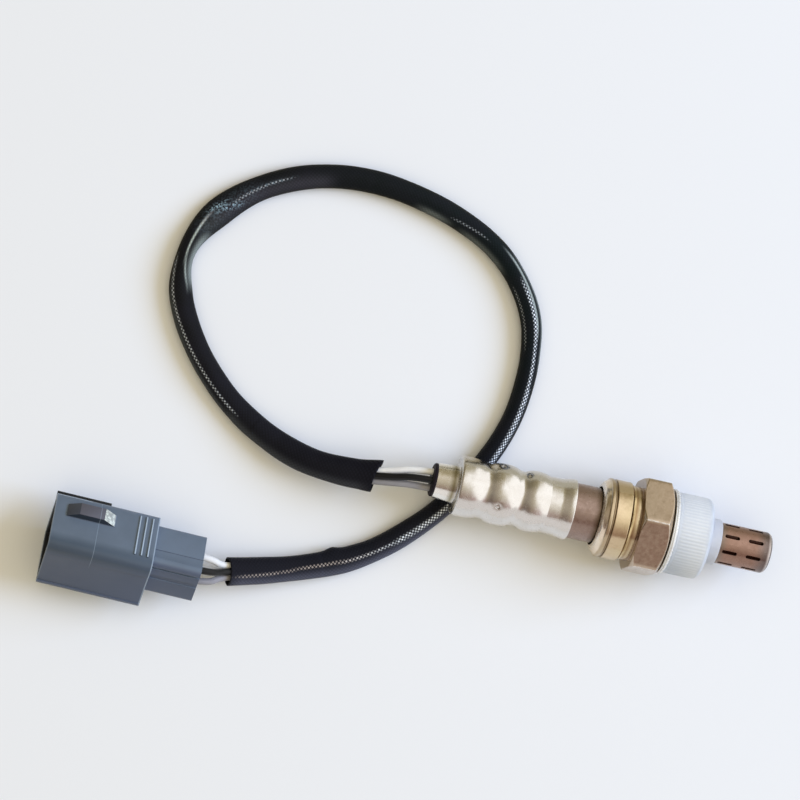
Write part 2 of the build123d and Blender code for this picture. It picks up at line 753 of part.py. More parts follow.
# ------------------------------------------------------------------ harness
# Centre line of the four wires, from the terminals in the sensor to the plug. The part
# between the two marked points is inside the sleeve.
HARNESS_START = [
    (wire_start, 0, 0),
    (-61.4, 0, 0),
    (-68.4, -1.7, -1.3),
]
SLEEVED = [
    (-78.9, -3.0, -3.9),
    (-91.4, -1.6, -7.3),
    (-105.9, 5.2, SLEEVE_Z),
    (-117.9, 16.0, SLEEVE_Z),
    (-126.7, 29.8, SLEEVE_Z),
    (-127.8, 42.8, SLEEVE_Z),
    (-119.4, 55.5, SLEEVE_Z),
    (-105.9, 64.6, SLEEVE_Z),
    (-88.9, 68.4, SLEEVE_Z),
    (-70.4, 66.2, SLEEVE_Z),
    (-52.4, 59.2, SLEEVE_Z),
    (-41.1, 46.0, SLEEVE_Z),
    (-38.7, 31.5, SLEEVE_Z),
    (-40.3, 17.0, SLEEVE_Z),
    (-46.7, 2.5, SLEEVE_Z),
    (-55.9, -10.5, SLEEVE_Z),
    (-69.4, -22.3, SLEEVE_Z),
    (-85.4, -28.4, SLEEVE_Z + 1.3),
    (-95.4, -31.0, -6.1),
]
HARNESS_END = [
    (-102.6, -32.5, -3.9),
]
SLEEVE_STARTS = 0.34  # share of the run before the sleeved points that lies outside it
SLEEVE_ENDS = 0.62  # share of the run after them that lies inside it
BARE_END = 0.5  # how far short of its bores' floors a wire ends


def corner_radii(route):
    """Radius of the arc at each corner: 0.45 of the shorter run over tan(half the turn)."""
    radii = []
    for before, corner, after in zip(route, route[1:], route[2:]):
        first, second = Vector(*corner) - Vector(*before), Vector(*after) - Vector(*corner)
        half_turn = radians(first.get_angle(second) / 2)
        radii.append(0.45 * min(first.length, second.length) / tan(half_turn))
    return radii


def tube(route, radii, outer_r):
    """A round tube along straight runs joined by tangent arcs."""
    with BuildPart() as piece:
        with BuildLine() as path:
            FilletPolyline(*route, radius=radii)
        start = Vector(*route[1]) - Vector(*route[0])
        with BuildSketch(Plane(origin=route[0], z_dir=start)):
            Circle(outer_r)
        sweep(path=path.line)
    return piece


def between(one, other, share):
    """The point at a share of the way from one point to another."""
    return tuple(a + share * (b - a) for a, b in zip(one, other))


harness = [*HARNESS_START, *SLEEVED, *HARNESS_END]
sleeve_route = [
    between(HARNESS_START[-1], SLEEVED[0], SLEEVE_STARTS),
    *SLEEVED,
    between(SLEEVED[-1], HARNESS_END[0], SLEEVE_ENDS),
]
sleeve_radii = corner_radii(harness)[len(HARNESS_START) - 1 : -len(HARNESS_END) + 1 or None]
print("sleeve arc radii", [round(radius, 1) for radius in sleeve_radii])

sleeve_blank = tube(sleeve_route, sleeve_radii, SLEEVE_R)
with BuildPart() as sleeve:
    add(sleeve_blank.part)
    for mouth_point, inner_point in (sleeve_route[:2], sleeve_route[:-3:-1]):
        inwards = Vector(*inner_point) - Vector(*mouth_point)
        with BuildSketch(Plane(origin=mouth_point, z_dir=inwards)):
            Circle(SLEEVE_BORE_R)
        extrude(amount=SLEEVE_BORE_DEPTH, mode=Mode.SUBTRACT)

first_run = Vector(*sleeve_route[1]) - Vector(*sleeve_route[0])
last_run = Vector(*sleeve_route[-1]) - Vector(*sleeve_route[-2])
in_sleeve = SLEEVE_BORE_DEPTH - BARE_END
into_sleeve = Vector(*sleeve_route[0]) + first_run.normalized() * in_sleeve
out_of_sleeve = Vector(*sleeve_route[-1]) - last_run.normalized() * in_sleeve


def beside(point, run, side, rise):
    """A point beside another: to the left of a run by `side` and above it by `rise`."""
    left = Vector(-run.Y, run.X, 0).normalized()
    return tuple(Vector(*point) + left * side + Vector(0, 0, rise))


WIRES = {
    # name: (left or right of the bundle's centre, above or below it, cavity in the plug)
    "wire_white_1": (-1, 0, 1),
    "wire_black": (0, 1, 2),
    "wire_grey": (1, 0, 3),
    "wire_white_2": (0, -1, 0),
}
wire_end = pin_rear - 4.0 + BARE_END
for name, (side, rise, cavity) in WIRES.items():
    bundle_side, bundle_rise = side * BUNDLE_CIRCLE_R, rise * BUNDLE_CIRCLE_R
    front_route = [
        (HARNESS_START[0][0], -side * WIRE_CIRCLE_R, rise * WIRE_CIRCLE_R),
        (HARNESS_START[1][0], -side * WIRE_CIRCLE_R, rise * WIRE_CIRCLE_R),
        beside(HARNESS_START[2], first_run, bundle_side, bundle_rise),
        beside(into_sleeve, first_run, bundle_side, bundle_rise),
    ]
    rear_route = [
        beside(out_of_sleeve, last_run, bundle_side, bundle_rise),
        beside(HARNESS_END[0], last_run, bundle_side, bundle_rise),
        tuple(mouth.from_local_coords((*cavities[cavity], plug_end + 2.2))),
        tuple(mouth.from_local_coords((*cavities[cavity], wire_end))),
    ]
    front_radii, rear_radii = corner_radii(front_route), corner_radii(rear_route)
    print(name, "arc radii", [round(radius, 1) for radius in front_radii + rear_radii])
    front_tube = tube(front_route, front_radii, WIRE_R)
    rear_tube = tube(rear_route, rear_radii, WIRE_R)
    with BuildPart() as wire:
        add(front_tube.part)
        add(rear_tube.part)
    wire.part.label = name
    export_step(wire.part, f"parts/{name}.step")

# ------------------------------------------------------------------ write the pieces
housing.part.label = "housing"
export_step(housing.part, "parts/housing.step")
gasket_ring.part.label = "gasket_ring"
export_step(gasket_ring.part, "parts/gasket_ring.step")
thread_cap.part.label = "thread_cap"
export_step(thread_cap.part, "parts/thread_cap.step")
outer_protector.part.label = "outer_protector"
export_step(outer_protector.part, "parts/outer_protector.step")
inner_protector.part.label = "inner_protector"
export_step(inner_protector.part, "parts/inner_protector.step")
zirconia_element.part.label = "zirconia_element"
export_step(zirconia_element.part, "parts/zirconia_element.step")
heater_rod.part.label = "heater_rod"
export_step(heater_rod.part, "parts/heater_rod.step")
seat_packing.part.label = "seat_packing"
export_step(seat_packing.part, "parts/seat_packing.step")
talc_seal.part.label = "talc_seal"
export_step(talc_seal.part, "parts/talc_seal.step")
ceramic_bush.part.label = "ceramic_bush"
export_step(ceramic_bush.part, "parts/ceramic_bush.step")
crimp_ring.part.label = "crimp_ring"
export_step(crimp_ring.part, "parts/crimp_ring.step")
inner_cover.part.label = "inner_cover"
export_step(inner_cover.part, "parts/inner_cover.step")
outer_cover.part.label = "outer_cover"
export_step(outer_cover.part, "parts/outer_cover.step")
air_filter.part.label = "air_filter"
export_step(air_filter.part, "parts/air_filter.step")
terminal_separator.part.label = "terminal_separator"
export_step(terminal_separator.part, "parts/terminal_separator.step")
heater_contact_1.part.label = "heater_contact_1"
export_step(heater_contact_1.part, "parts/heater_contact_1.step")
heater_contact_2.part.label = "heater_contact_2"
export_step(heater_contact_2.part, "parts/heater_contact_2.step")
signal_contact.part.label = "signal_contact"
export_step(signal_contact.part, "parts/signal_contact.step")
ground_contact.part.label = "ground_contact"
export_step(ground_contact.part, "parts/ground_contact.step")
grommet.part.label = "grommet"
export_step(grommet.part, "parts/grommet.step")
connector_housing.part.label = "connector_housing"
export_step(connector_housing.part, "parts/connector_housing.step")
sleeve.part.label = "sleeve"
export_step(sleeve.part, "parts/sleeve.step")
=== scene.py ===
import json
import math

import bmesh
import bpy
from mathutils import Matrix, Vector, noise


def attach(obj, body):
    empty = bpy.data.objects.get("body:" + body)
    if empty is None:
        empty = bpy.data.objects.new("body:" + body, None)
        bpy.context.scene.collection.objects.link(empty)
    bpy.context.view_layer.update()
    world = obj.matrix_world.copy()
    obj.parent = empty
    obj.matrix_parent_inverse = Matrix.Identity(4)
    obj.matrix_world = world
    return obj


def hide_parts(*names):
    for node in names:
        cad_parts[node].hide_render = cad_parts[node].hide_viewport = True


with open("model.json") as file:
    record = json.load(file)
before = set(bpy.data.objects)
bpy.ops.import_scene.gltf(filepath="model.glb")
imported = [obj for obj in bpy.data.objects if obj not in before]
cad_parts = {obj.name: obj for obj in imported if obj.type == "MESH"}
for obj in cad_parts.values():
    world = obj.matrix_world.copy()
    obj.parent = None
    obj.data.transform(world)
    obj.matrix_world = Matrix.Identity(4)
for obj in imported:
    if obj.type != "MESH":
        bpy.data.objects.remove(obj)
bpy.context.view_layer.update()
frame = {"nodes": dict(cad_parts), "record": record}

MM = 0.001
SLOT_OF = {entry["node"]: entry["material_slot"] for entry in frame["record"]["subparts"]}

# -------------------- sizes, in millimetres
HEX_FLATS = 22.0
HEX_LENGTH = 7.5
HEX_ROLL = math.radians(7.0)
FLOOR = -HEX_FLATS / math.sqrt(3) * math.cos(HEX_ROLL)  # the hex's lowest corner lies on it
COLLAR_R = 9.7
LIP_R = 7.25
GROOVE_R = 9.1
CAP_REAR = 1.65
CAP_FRONT = 10.45
CAP_NECK_FRONT = 13.7
SHELL_FRONT = -23.4
SHOULDER = -52.15
NECK_REAR = -57.4

WIRE_D = 1.7
SLEEVE_D = 5.6
SLEEVE_WALL = 0.35
SLEEVE_LIFT = 2.6
SLEEVE_Z = FLOOR + SLEEVE_LIFT  # the sleeve's middle where it lies on the floor
WEAVE_PITCH = 0.95

SHARP_ANGLE = math.radians(32)  # edges that turn by more stay sharp

# camera: its place in millimetres, its directions, and the tangent of half its field of view
CAMERA_PLACE = (-203.44, -12.58, 953.81)
CAMERA_FORWARD = (0.1387, 0.0307, -0.9899)
CAMERA_UP = (-0.2162, 0.9763, 0.0)
CAMERA_HALF_VIEW = 0.1

# lamp: a disk on the right, aimed at the middle of the object
LAMP_AIM = (-50, 15, 0)
LAMP_AZIMUTH = 0.35  # radians from +X towards +Y
LAMP_RISE = math.radians(38)
LAMP_AWAY_M = 2.0
LAMP_SIZE_M = 1.45
LAMP_WATTS = 40.8
LAMP_COLOUR = (0.535, 0.69, 1.0)

# world and floor
WORLD_COLOUR = (0.71, 0.63, 0.455, 1)
WORLD_LEVEL = 0.17
WORLD_OVERHEAD = 2.5  # what straight up adds to the level
BACKDROP_COLOUR = (0.83, 0.845, 0.875, 1)
DOME_LEVEL = 1.4
FLOOR_REACH_M = 6.0
FLOOR_COLOUR = (0.83, 0.845, 0.88)
# the floor's darker colour in reflections beyond the object is a painted reflection
FLOOR_MIRRORED = (0.50, 0.47, 0.38)  # how glossy surfaces see the floor beyond the object
FLOOR_MIRRORED_BY = 40.0  # how far beyond it that colour is full


# -------------------- small tools
def feed(socket, value):
    """Gives an input a number or a colour, or links it to another node's output."""
    if isinstance(value, bpy.types.NodeSocket):
        socket.id_data.links.new(value, socket)
    else:
        socket.default_value = value


def add(tree, kind, attributes=None, **inputs):
    """A shader node; its inputs are named, or numbered as in _0."""
    made = tree.nodes.new("ShaderNode" + kind)
    for key, value in (attributes or {}).items():
        setattr(made, key, value)
    for key, value in inputs.items():
        place = int(key[1:]) if key[0] == "_" else key.replace("_", " ")
        feed(made.inputs[place], value)
    return made


def new_material(name):
    """An empty material with its tree, its Principled shader and its object coordinates."""
    material = bpy.data.materials.new(name)
    material.use_nodes = True
    tree = material.node_tree
    tree.nodes.clear()
    shader = add(tree, "BsdfPrincipled")
    add(tree, "OutputMaterial", Surface=shader.outputs[0])
    place = add(tree, "TexCoord").outputs["Object"]
    return material, tree, shader, place


def set_inputs(shader, **inputs):
    """Gives inputs to a shader that exists already."""
    for key, value in inputs.items():
        feed(shader.inputs[key.replace("_", " ")], value)


def noise_at(tree, place, size_mm, detail=3.0):
    """Noise whose blotches are about size_mm across."""
    return add(
        tree, "TexNoise", Vector=place, Scale=1 / (size_mm * MM), Detail=detail, Roughness=0.55
    ).outputs[0]


def ramp(tree, value, *stops):
    """A colour ramp of (position, colour) stops."""
    made = add(tree, "ValToRGB", Fac=value)
    elements = made.color_ramp.elements
    while len(elements) < len(stops):
        elements.new(0.5)
    for element, (position, colour) in zip(elements, stops):
        element.position = position
        element.color = (*colour, 1)
    return made.outputs[0]


def scaled(tree, value, low, high, out_low=0.0, out_high=1.0):
    """The value moved from one range to another, and kept inside it."""
    return add(
        tree,
        "MapRange",
        Value=value,
        From_Min=low,
        From_Max=high,
        To_Min=out_low,
        To_Max=out_high,
    ).outputs[0]


def maths(tree, operation, *values):
    """One sum on numbers or sockets."""
    return add(
        tree,
        "Math",
        {"operation": operation},
        **{f"_{number}": value for number, value in enumerate(values)},
    ).outputs[0]


def product(tree, *masks):
    """Where all of these masks hold."""
    whole = masks[0]
    for mask in masks[1:]:
        whole = maths(tree, "MULTIPLY", whole, mask)
    return whole


def mixed(tree, factor, one, other, blend="MIX"):
    """The first colour, and the other one where the factor is 1."""
    made = add(tree, "Mix", {"data_type": "RGBA", "blend_type": blend})
    for number, value in ((0, factor), (6, one), (7, other)):
        feed(made.inputs[number], (*value, 1) if isinstance(value, tuple) else value)
    return made.outputs[2]


def mesh_value(tree, name):
    """A number that the mesh carries at its points."""
    return add(tree, "Attribute", {"attribute_name": name}).outputs["Fac"]


def bump(tree, height, distance_mm, strength=1.0, under=None):
    """A normal that follows small heights, on top of another one if there is one."""
    inputs = {"Height": height, "Distance": distance_mm * MM, "Strength": strength}
    if under is not None:
        inputs["Normal"] = under
    return add(tree, "Bump", **inputs).outputs[0]


def axes_of(tree, place):
    """The three parts of a position."""
    return add(tree, "SeparateXYZ", Vector=place).outputs


def link_object(name, mesh, material):
    """A new piece of the object, on its one body."""
    made = bpy.data.objects.new(name, mesh)
    bpy.context.scene.collection.objects.link(made)
    mesh.materials.append(material)
    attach(made, "root")
    return made


def mark_sharp(mesh):
    """Smooth shading, with sharp edges left sharp."""
    work = bmesh.new()
    work.from_mesh(mesh)
    for face in work.faces:
        face.smooth = True
    for edge in work.edges:
        edge.smooth = len(edge.link_faces) != 2 or edge.calc_face_angle(0) < SHARP_ANGLE
    work.to_mesh(mesh)
    work.free()


def rounded(corners, steps):
    """The line through (x, radius, rounding) corners, each rounded one in short runs."""
    line = []
    for number, (x, r, size) in enumerate(corners):
        if not size:
            line.append((x, r))
            continue
        here = Vector((x, r))
        before = Vector(corners[number - 1][:2]) - here
        after = Vector(corners[(number + 1) % len(corners)][:2]) - here
        one = here + before.normalized() * min(size, before.length * 0.49)
        other = here + after.normalized() * min(size, after.length * 0.49)
        for step in range(steps + 1):
            t = step / steps
            line.append(tuple(one * (1 - t) ** 2 + here * 2 * t * (1 - t) + other * t * t))
    return line


def finer(line, longest, above):
    """The line with more points: no run beyond the radius `above` is longer than `longest`."""
    points = [line[0]]
    for one, other in zip(line, line[1:]):
        beyond = max(one[1], other[1]) > above
        runs = max(1, math.ceil(math.dist(one, other) / longest)) if beyond else 1
        for run in range(1, runs + 1):
            t = run / runs
            points.append(tuple(a + (b - a) * t for a, b in zip(one, other)))
    return points


def smooth_min(one, other, soft):
    """The smaller of two numbers, blended where they are within `soft` of each other."""
    gap = max(soft - abs(one - other), 0.0) / soft
    return min(one, other) - gap * gap * soft / 4


def turned(name, line, segments, material, shape):
    """A closed line of (x, radius) turned about X, in mm.

    The shape gives the radius and a mark for an x, a radius and an angle from +Z towards
    -Y: 1 on a pale edge, partly wear and partly painted highlight, -1 in painted shade, 0
    elsewhere.
    """
    vertices, faces, wear_and_painted_light = [], [], []
    for x, radius in line:
        for step in range(segments):
            angle = 2 * math.pi * step / segments
            r, wear_and_light_mark = shape(x, radius, angle)
            vertices.append((x * MM, -r * math.sin(angle) * MM, r * math.cos(angle) * MM))
            wear_and_painted_light.append(wear_and_light_mark)
    for ring in range(len(line)):
        here = ring * segments
        there = (ring + 1) % len(line) * segments
        for step in range(segments):
            side = (step + 1) % segments
            faces.append((here + step, there + step, there + side, here + side))
    mesh = bpy.data.meshes.new(name)
    mesh.from_pydata(vertices, [], faces)
    layer = mesh.attributes.new("wear_and_painted_light", "FLOAT", "POINT")
    layer.data.foreach_set("value", wear_and_painted_light)
    work = bmesh.new()
    work.from_mesh(mesh)
    bmesh.ops.remove_doubles(work, verts=work.verts, dist=0.001 * MM)
    bmesh.ops.recalc_face_normals(work, faces=work.faces)
    work.to_mesh(mesh)
    work.free()
    mark_sharp(mesh)
    return link_object(name, mesh, material)


def softened(node, material, width_mm, segments):
    """A copy of a CAD node with its edges rounded, which stands for the node."""
    mesh = frame["nodes"][node].data.copy()
    mesh.name = node + "_soft"
    mesh.materials.clear()
    work = bmesh.new()
    work.from_mesh(mesh)
    bmesh.ops.remove_doubles(work, verts=work.verts, dist=0.002 * MM)
    bmesh.ops.dissolve_limit(
        work, angle_limit=math.radians(0.6), verts=work.verts, edges=work.edges
    )
    for face in work.faces:
        face.smooth = True
    for edge in work.edges:
        edge.smooth = True
    work.to_mesh(mesh)
    work.free()
    made = link_object(node + "_soft", mesh, material)
    rounding = made.modifiers.new("rounding", "BEVEL")
    rounding.width = width_mm * MM
    rounding.segments = segments
    rounding.limit_method = "ANGLE"
    rounding.angle_limit = SHARP_ANGLE
    rounding.harden_normals = True
    rounding.use_clamp_overlap = True
    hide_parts(node)


# -------------------- camera, light and floor
def make_camera():
    """The camera looks down on the object from almost a metre above it."""
    data = bpy.data.cameras.new("camera")
    data.sensor_width = 36.0
    data.lens = data.sensor_width / 2 / CAMERA_HALF_VIEW
    data.clip_start = 0.01
    data.clip_end = 20.0
    made = bpy.data.objects.new("camera", data)
    bpy.context.scene.collection.objects.link(made)
    forward = Vector(CAMERA_FORWARD).normalized()
    right = forward.cross(Vector(CAMERA_UP)).normalized()
    up = right.cross(forward)
    turn = Matrix((right, up, -forward)).transposed().to_4x4()
    made.matrix_world = Matrix.Translation(Vector(CAMERA_PLACE) * MM) @ turn
    bpy.context.scene.camera = made


def make_lamp():
    """A low soft lamp on the right."""
    data = bpy.data.lights.new("key", "AREA")
    data.shape = "DISK"
    data.size = LAMP_SIZE_M
    data.energy = LAMP_WATTS
    data.color = LAMP_COLOUR
    lamp = bpy.data.objects.new("key", data)
    bpy.context.scene.collection.objects.link(lamp)
    level = (math.cos(LAMP_AZIMUTH), math.sin(LAMP_AZIMUTH))
    towards = Vector((*level, math.tan(LAMP_RISE))).normalized()
    lamp.location = Vector(LAMP_AIM) * MM + towards * LAMP_AWAY_M
    lamp.rotation_euler = towards.to_track_quat("Z", "Y").to_euler()
    lamp.visible_glossy = False


def make_world():
    """Warm light, strongest overhead. Glossy surfaces see a dome, the camera a backdrop."""
    world = bpy.data.worlds.new("studio")
    world.use_nodes = True
    bpy.context.scene.world = world
    tree = world.node_tree
    tree.nodes.clear()
    way = axes_of(tree, add(tree, "TexCoord").outputs["Generated"])
    turn = maths(tree, "ARCTAN2", way["Y"], way["Z"])  # from straight up towards +Y
    # what glossy surfaces see: a ceiling that is dim behind and bright in front
    ceiling = ramp(
        tree,
        scaled(tree, way["X"], -1.0, 1.0),
        (0.25, (0.26, 0.23, 0.19)),
        (0.42, (0.34, 0.30, 0.24)),
        (0.52, (0.46, 0.415, 0.32)),
        (0.58, (0.62, 0.58, 0.50)),
        (0.68, (0.90, 0.88, 0.85)),
    )
    shade = ramp(
        tree,
        scaled(tree, turn, -math.pi / 2, math.pi / 2),
        (0.24, (0.38, 0.275, 0.28)),
        (0.34, (0.60, 0.53, 0.54)),
        (0.43, (0.80, 0.79, 0.79)),
        (0.52, (1.0, 1.0, 1.0)),
        (0.70, (1.0, 0.99, 0.95)),
        (0.84, (0.62, 0.60, 0.47)),
        (1.0, (0.52, 0.50, 0.40)),
    )
    dimmed = mixed(tree, 1.0, ceiling, shade, "MULTIPLY")
    # a window above the front, a narrow band overhead that widens towards +X
    half_width = maths(tree, "MULTIPLY_ADD", way["X"], 3.2, -0.06)
    centre = maths(tree, "MULTIPLY_ADD", way["X"], 0.85, 0.43)
    aside = maths(tree, "ABSOLUTE", maths(tree, "SUBTRACT", turn, centre))
    window = scaled(tree, maths(tree, "SUBTRACT", half_width, aside), -0.20, 0.16)
    with_window = mixed(tree, window, dimmed, (1.0, 1.0, 1.0))
    # and a pale wall on the near side
    wall = scaled(tree, turn, -0.83, -0.87)
    dome = mixed(tree, wall, with_window, (0.60, 0.585, 0.59))
    overhead = maths(tree, "POWER", maths(tree, "MAXIMUM", way["Z"], 0.0), 4.0)
    strength = maths(tree, "MULTIPLY_ADD", overhead, WORLD_OVERHEAD, WORLD_LEVEL)
    surface = add(tree, "Background", Color=WORLD_COLOUR, Strength=strength).outputs[0]
    path = add(tree, "LightPath").outputs
    for ray, colour, level in (
        ("Is Glossy Ray", dome, DOME_LEVEL),
        ("Is Camera Ray", BACKDROP_COLOUR, 1.0),
    ):
        shown = add(tree, "Background", Color=colour, Strength=level).outputs[0]
        surface = add(tree, "MixShader", _0=path[ray], _1=surface, _2=shown).outputs[0]
    add(tree, "OutputWorld", Surface=surface)


def make_floor():
    """A plain pale floor, several metres wide."""
    mesh = bpy.data.meshes.new("floor")
    reach = FLOOR_REACH_M
    z = FLOOR * MM
    mesh.from_pydata(
        [(-reach, -reach, z), (reach, -reach, z), (reach, reach, z), (-reach, reach, z)],
        [],
        [(0, 1, 2, 3)],
    )
    made = bpy.data.objects.new("floor", mesh)
    bpy.context.scene.collection.objects.link(made)
    material, tree, shader, place = new_material("pale_floor")
    # beyond the object glossy rays see the floor darker and tan: a painted reflection
    beyond = scaled(tree, axes_of(tree, place)["Y"], 0.0, FLOOR_MIRRORED_BY * MM)
    mirrored = product(tree, beyond, add(tree, "LightPath").outputs["Is Glossy Ray"])
    tone = mixed(tree, mirrored, FLOOR_COLOUR, FLOOR_MIRRORED)
    set_inputs(shader, Base_Color=tone, Roughness=0.8, Specular_IOR_Level=0.0)
    mesh.materials.append(material)


# -------------------- turned pieces
# Lines are closed, of (x, radius, rounding) corners; the hex is cut from a turned blank.
HEX_TURNED_R = HEX_FLATS / math.sqrt(3) + 0.3
HEX_REAR_DROP, HEX_FRONT_DROP = 1.4, 2.3  # from the blank's radius to its end faces
HEX_REAR_CONE = HEX_REAR_DROP * math.tan(math.radians(34))
HEX_FRONT_CONE = HEX_FRONT_DROP * math.tan(math.radians(32))
HEX_CORNER_DROP = 0.10
HEX_CORNER_REACH = 0.35
HEX_CORNER_BRIGHT = 0.15
HEX_EDGE_ROUND = 0.22
HEX_EDGE_BRIGHT = 0.12
THREAD_R = 8.9
THREAD_PITCH = 1.5
THREAD_FROM, THREAD_TO = 2.4, 8.8
THREAD_RUNOUT = 0.8
THREAD_DEPTH = 0.8
LIP_BRIGHT_TO = -16.6
HOUSING_LINE = [
    # lip and collar
    (-17.05, LIP_R, 0.1),
    (LIP_BRIGHT_TO, 8.55, 0.7),
    (-15.5, 9.3, 0.1),
    (-15.32, COLLAR_R, 0.12),
    (-14.5, COLLAR_R, 0.16),
    (-14.38, 9.35, 0.04),
    (-14.0, 9.35, 0.04),
    (-13.9, COLLAR_R, 0.1),
    (-10.2, COLLAR_R, 0.08),
    (-9.75, GROOVE_R + 0.12, 0.05),
    (-9.3, GROOVE_R, 0.2),
    # hex
    (-HEX_LENGTH, GROOVE_R, 0.1),
    (-HEX_LENGTH, HEX_TURNED_R - HEX_REAR_DROP, 0.12),
    (-HEX_LENGTH + HEX_REAR_CONE, HEX_TURNED_R, 0),
    (-HEX_FRONT_CONE, HEX_TURNED_R, 0),
    (0, HEX_TURNED_R - HEX_FRONT_DROP, 0.2),
    # thread
    (0, 7.9, 0),
    (1.6, 7.9, 0),
    (2.6, THREAD_R, 0),
    (8.7, THREAD_R, 0),
    (9.4, 8.2, 0),
    # bore, from the front to the lip
    (9.4, 5.25, 0),
    (9.15, 5.25, 0),
    (9.15, 6.7, 0),
    (8.05, 6.7, 0),
    (8.05, 5.05, 0),
    (4.6, 5.05, 0),
    (2.6, 6.3, 0),
    (-3.0, 6.3, 0),
    (-3.0, 7.3, 0),
    (-11.0, 7.3, 0),
    (-11.0, 8.2, 0),
    (-16.15, 8.2, 0),
    (-16.15, LIP_R, 0),
]


def hex_radius(angle):
    """The hexagon's radius at an angle, corners a little rounded, and their pale mark: wear and
    painted highlight.
    """
    turn = (angle + HEX_ROLL) % (math.pi / 3)
    one = HEX_FLATS / 2 / math.cos(turn - math.pi / 6)
    corner = min(turn, math.pi / 3 - turn) * HEX_FLATS / 2
    rounding = HEX_CORNER_DROP * math.exp(-((corner / HEX_CORNER_REACH) ** 2))
    return one - rounding, math.exp(-((corner / HEX_CORNER_BRIGHT) ** 2))


def housing_shape(x, radius, angle):
    """The hex and the thread; the lip is pale outside, partly wear and partly painted highlight,
    painted shade inside.
    """
    if -HEX_LENGTH - 0.01 <= x <= 0.01 and radius > GROOVE_R + 0.3:
        flat, corner_wear_and_highlight = hex_radius(angle)
        # pale cone edges and corners: partly wear, partly a painted highlight
        cone_edge = 0.0
        if x > -HEX_LENGTH + 0.05:
            cone_edge = 0.5 * math.exp(-(((radius - flat) / HEX_EDGE_BRIGHT) ** 2))
        wear_and_painted_light = max(cone_edge, corner_wear_and_highlight if radius > flat else 0.0)
        return smooth_min(radius, flat, HEX_EDGE_ROUND), wear_and_painted_light
    if THREAD_FROM < x < THREAD_TO and radius > THREAD_R - 0.05:
        turn = (x / THREAD_PITCH + angle / (2 * math.pi)) % 1.0
        ends = min(1.0, (x - THREAD_FROM) / THREAD_RUNOUT, (THREAD_TO - x) / THREAD_RUNOUT)
        flank = max(0.0, min(1.0, 1.15 - 2.3 * abs(turn - 0.5)))  # a flat crest
        return radius - THREAD_DEPTH * (1 - flank) * ends, 0.0
    if x < -16.0 and radius < LIP_R + 0.03:
        return radius, -1.0
    return radius, 0.75 if x < LIP_BRIGHT_TO else 0.0


GASKET_GAP = 0.43
GASKET_LINE = [
    (0.0, 9.0, 0),
    (0.0, 9.5, 0.05),
    (0.42, 9.5, 0.05),
    (0.44, 10.35, 0.06),
    (0.54, 10.5, 0.1),
    (0.76, 10.48, 0.08),
    (0.84, 10.28, 0.05),
    (0.93, 10.5, 0.1),
    (1.34, 10.5, 0.16),
    (1.6, 10.3, 0.1),
    (1.6, 9.0, 0),
]


def gasket_shape(x, radius, angle):
    """The gap in front of the hex is painted dark, as shade."""
    return radius, -1.0 if x < GASKET_GAP else 0.0


CAP_R = 10.0
CAP_NECK_R = 5.6
CAP_RIBS = 72
CAP_RIB_HEIGHT = 0.08
CAP_RIBS_FROM, CAP_RIBS_TO = 2.3, 9.6
CAP_RIB_RUNOUT = 0.4
CAP_LINE = [
    (CAP_REAR, 9.15, 0),
    (CAP_REAR, CAP_R - 0.04, 0.1),
    (CAP_REAR + 0.55, CAP_R - 0.04, 0.06),
    (CAP_REAR + 0.6, CAP_R - CAP_RIB_HEIGHT, 0.05),
    (CAP_FRONT - 0.75, CAP_R - CAP_RIB_HEIGHT, 0.2),
    (CAP_FRONT, CAP_R - 0.6, 0.5),
    (CAP_FRONT, CAP_NECK_R, 0.35),
    (CAP_NECK_FRONT, CAP_NECK_R, 0.12),
    (CAP_NECK_FRONT, 5.1, 0),
    (CAP_FRONT - 0.8, 5.1, 0),
    (CAP_FRONT - 0.8, 9.15, 0),
]


def cap_shape(x, radius, angle):
    """Fine ribs along the cap, which run out at their ends."""
    if CAP_RIBS_FROM < x < CAP_RIBS_TO and radius > CAP_R - 0.3:
        ends = min(1.0, (x - CAP_RIBS_FROM) / CAP_RIB_RUNOUT, (CAP_RIBS_TO - x) / CAP_RIB_RUNOUT)
        ridge = 0.5 + 0.5 * math.cos(CAP_RIBS * angle)
        return radius + CAP_RIB_HEIGHT * ridge * ends, ridge * ends
    return radius, 0.0


SHELL_LINE = [
    (-23.9, 6.95, 0),
    (SHELL_FRONT, 7.05, 0.15),
    (SHELL_FRONT, 7.5, 0.3),
    (-24.5, 7.48, 0.5),
    (-26.6, 6.98, 0.45),
    (-29.78, 6.93, 0.12),
    (-31.7, 7.46, 1.5),
    (-34.5, 7.46, 1.6),
    (-36.55, 6.42, 3.0),
    (-38.9, 7.52, 1.8),
    (-43.0, 7.52, 1.8),
    (-45.0, 6.5, 2.8),
    (-47.9, 7.36, 1.6),
    (-50.9, 7.36, 1.2),
    (SHOULDER, 7.3, 0.75),
    (SHOULDER, 4.62, 0.35),
    (NECK_REAR, 4.2, 0.12),
    (NECK_REAR, 3.75, 0),
    (SHOULDER + 0.4, 4.2, 0),
    (SHOULDER + 0.4, 6.9, 0.7),
    (-47.9, 7.0, 1.4),
    (-45.0, 6.42, 0.4),
    (-43.0, 7.2, 1.6),
    (-38.9, 7.2, 1.6),
    (-36.55, 6.28, 1.4),
    (-34.5, 7.15, 1.4),
    (-31.7, 7.15, 1.4),
    (-29.78, 6.6, 0.2),
    (-26.6, 6.84, 0.4),
]
SHELL_OUTSIDE_R = 7.25  # the shell is wider than this outside, and narrower inside
VENT_X = -42.0
VENT_ROLL = math.radians(25)
VENT_SPACING = math.radians(90)
VENT_D = 1.0
VENT_DEPTH = 0.28
DISH_R = 1.1
DISH_DEPTH = 0.10


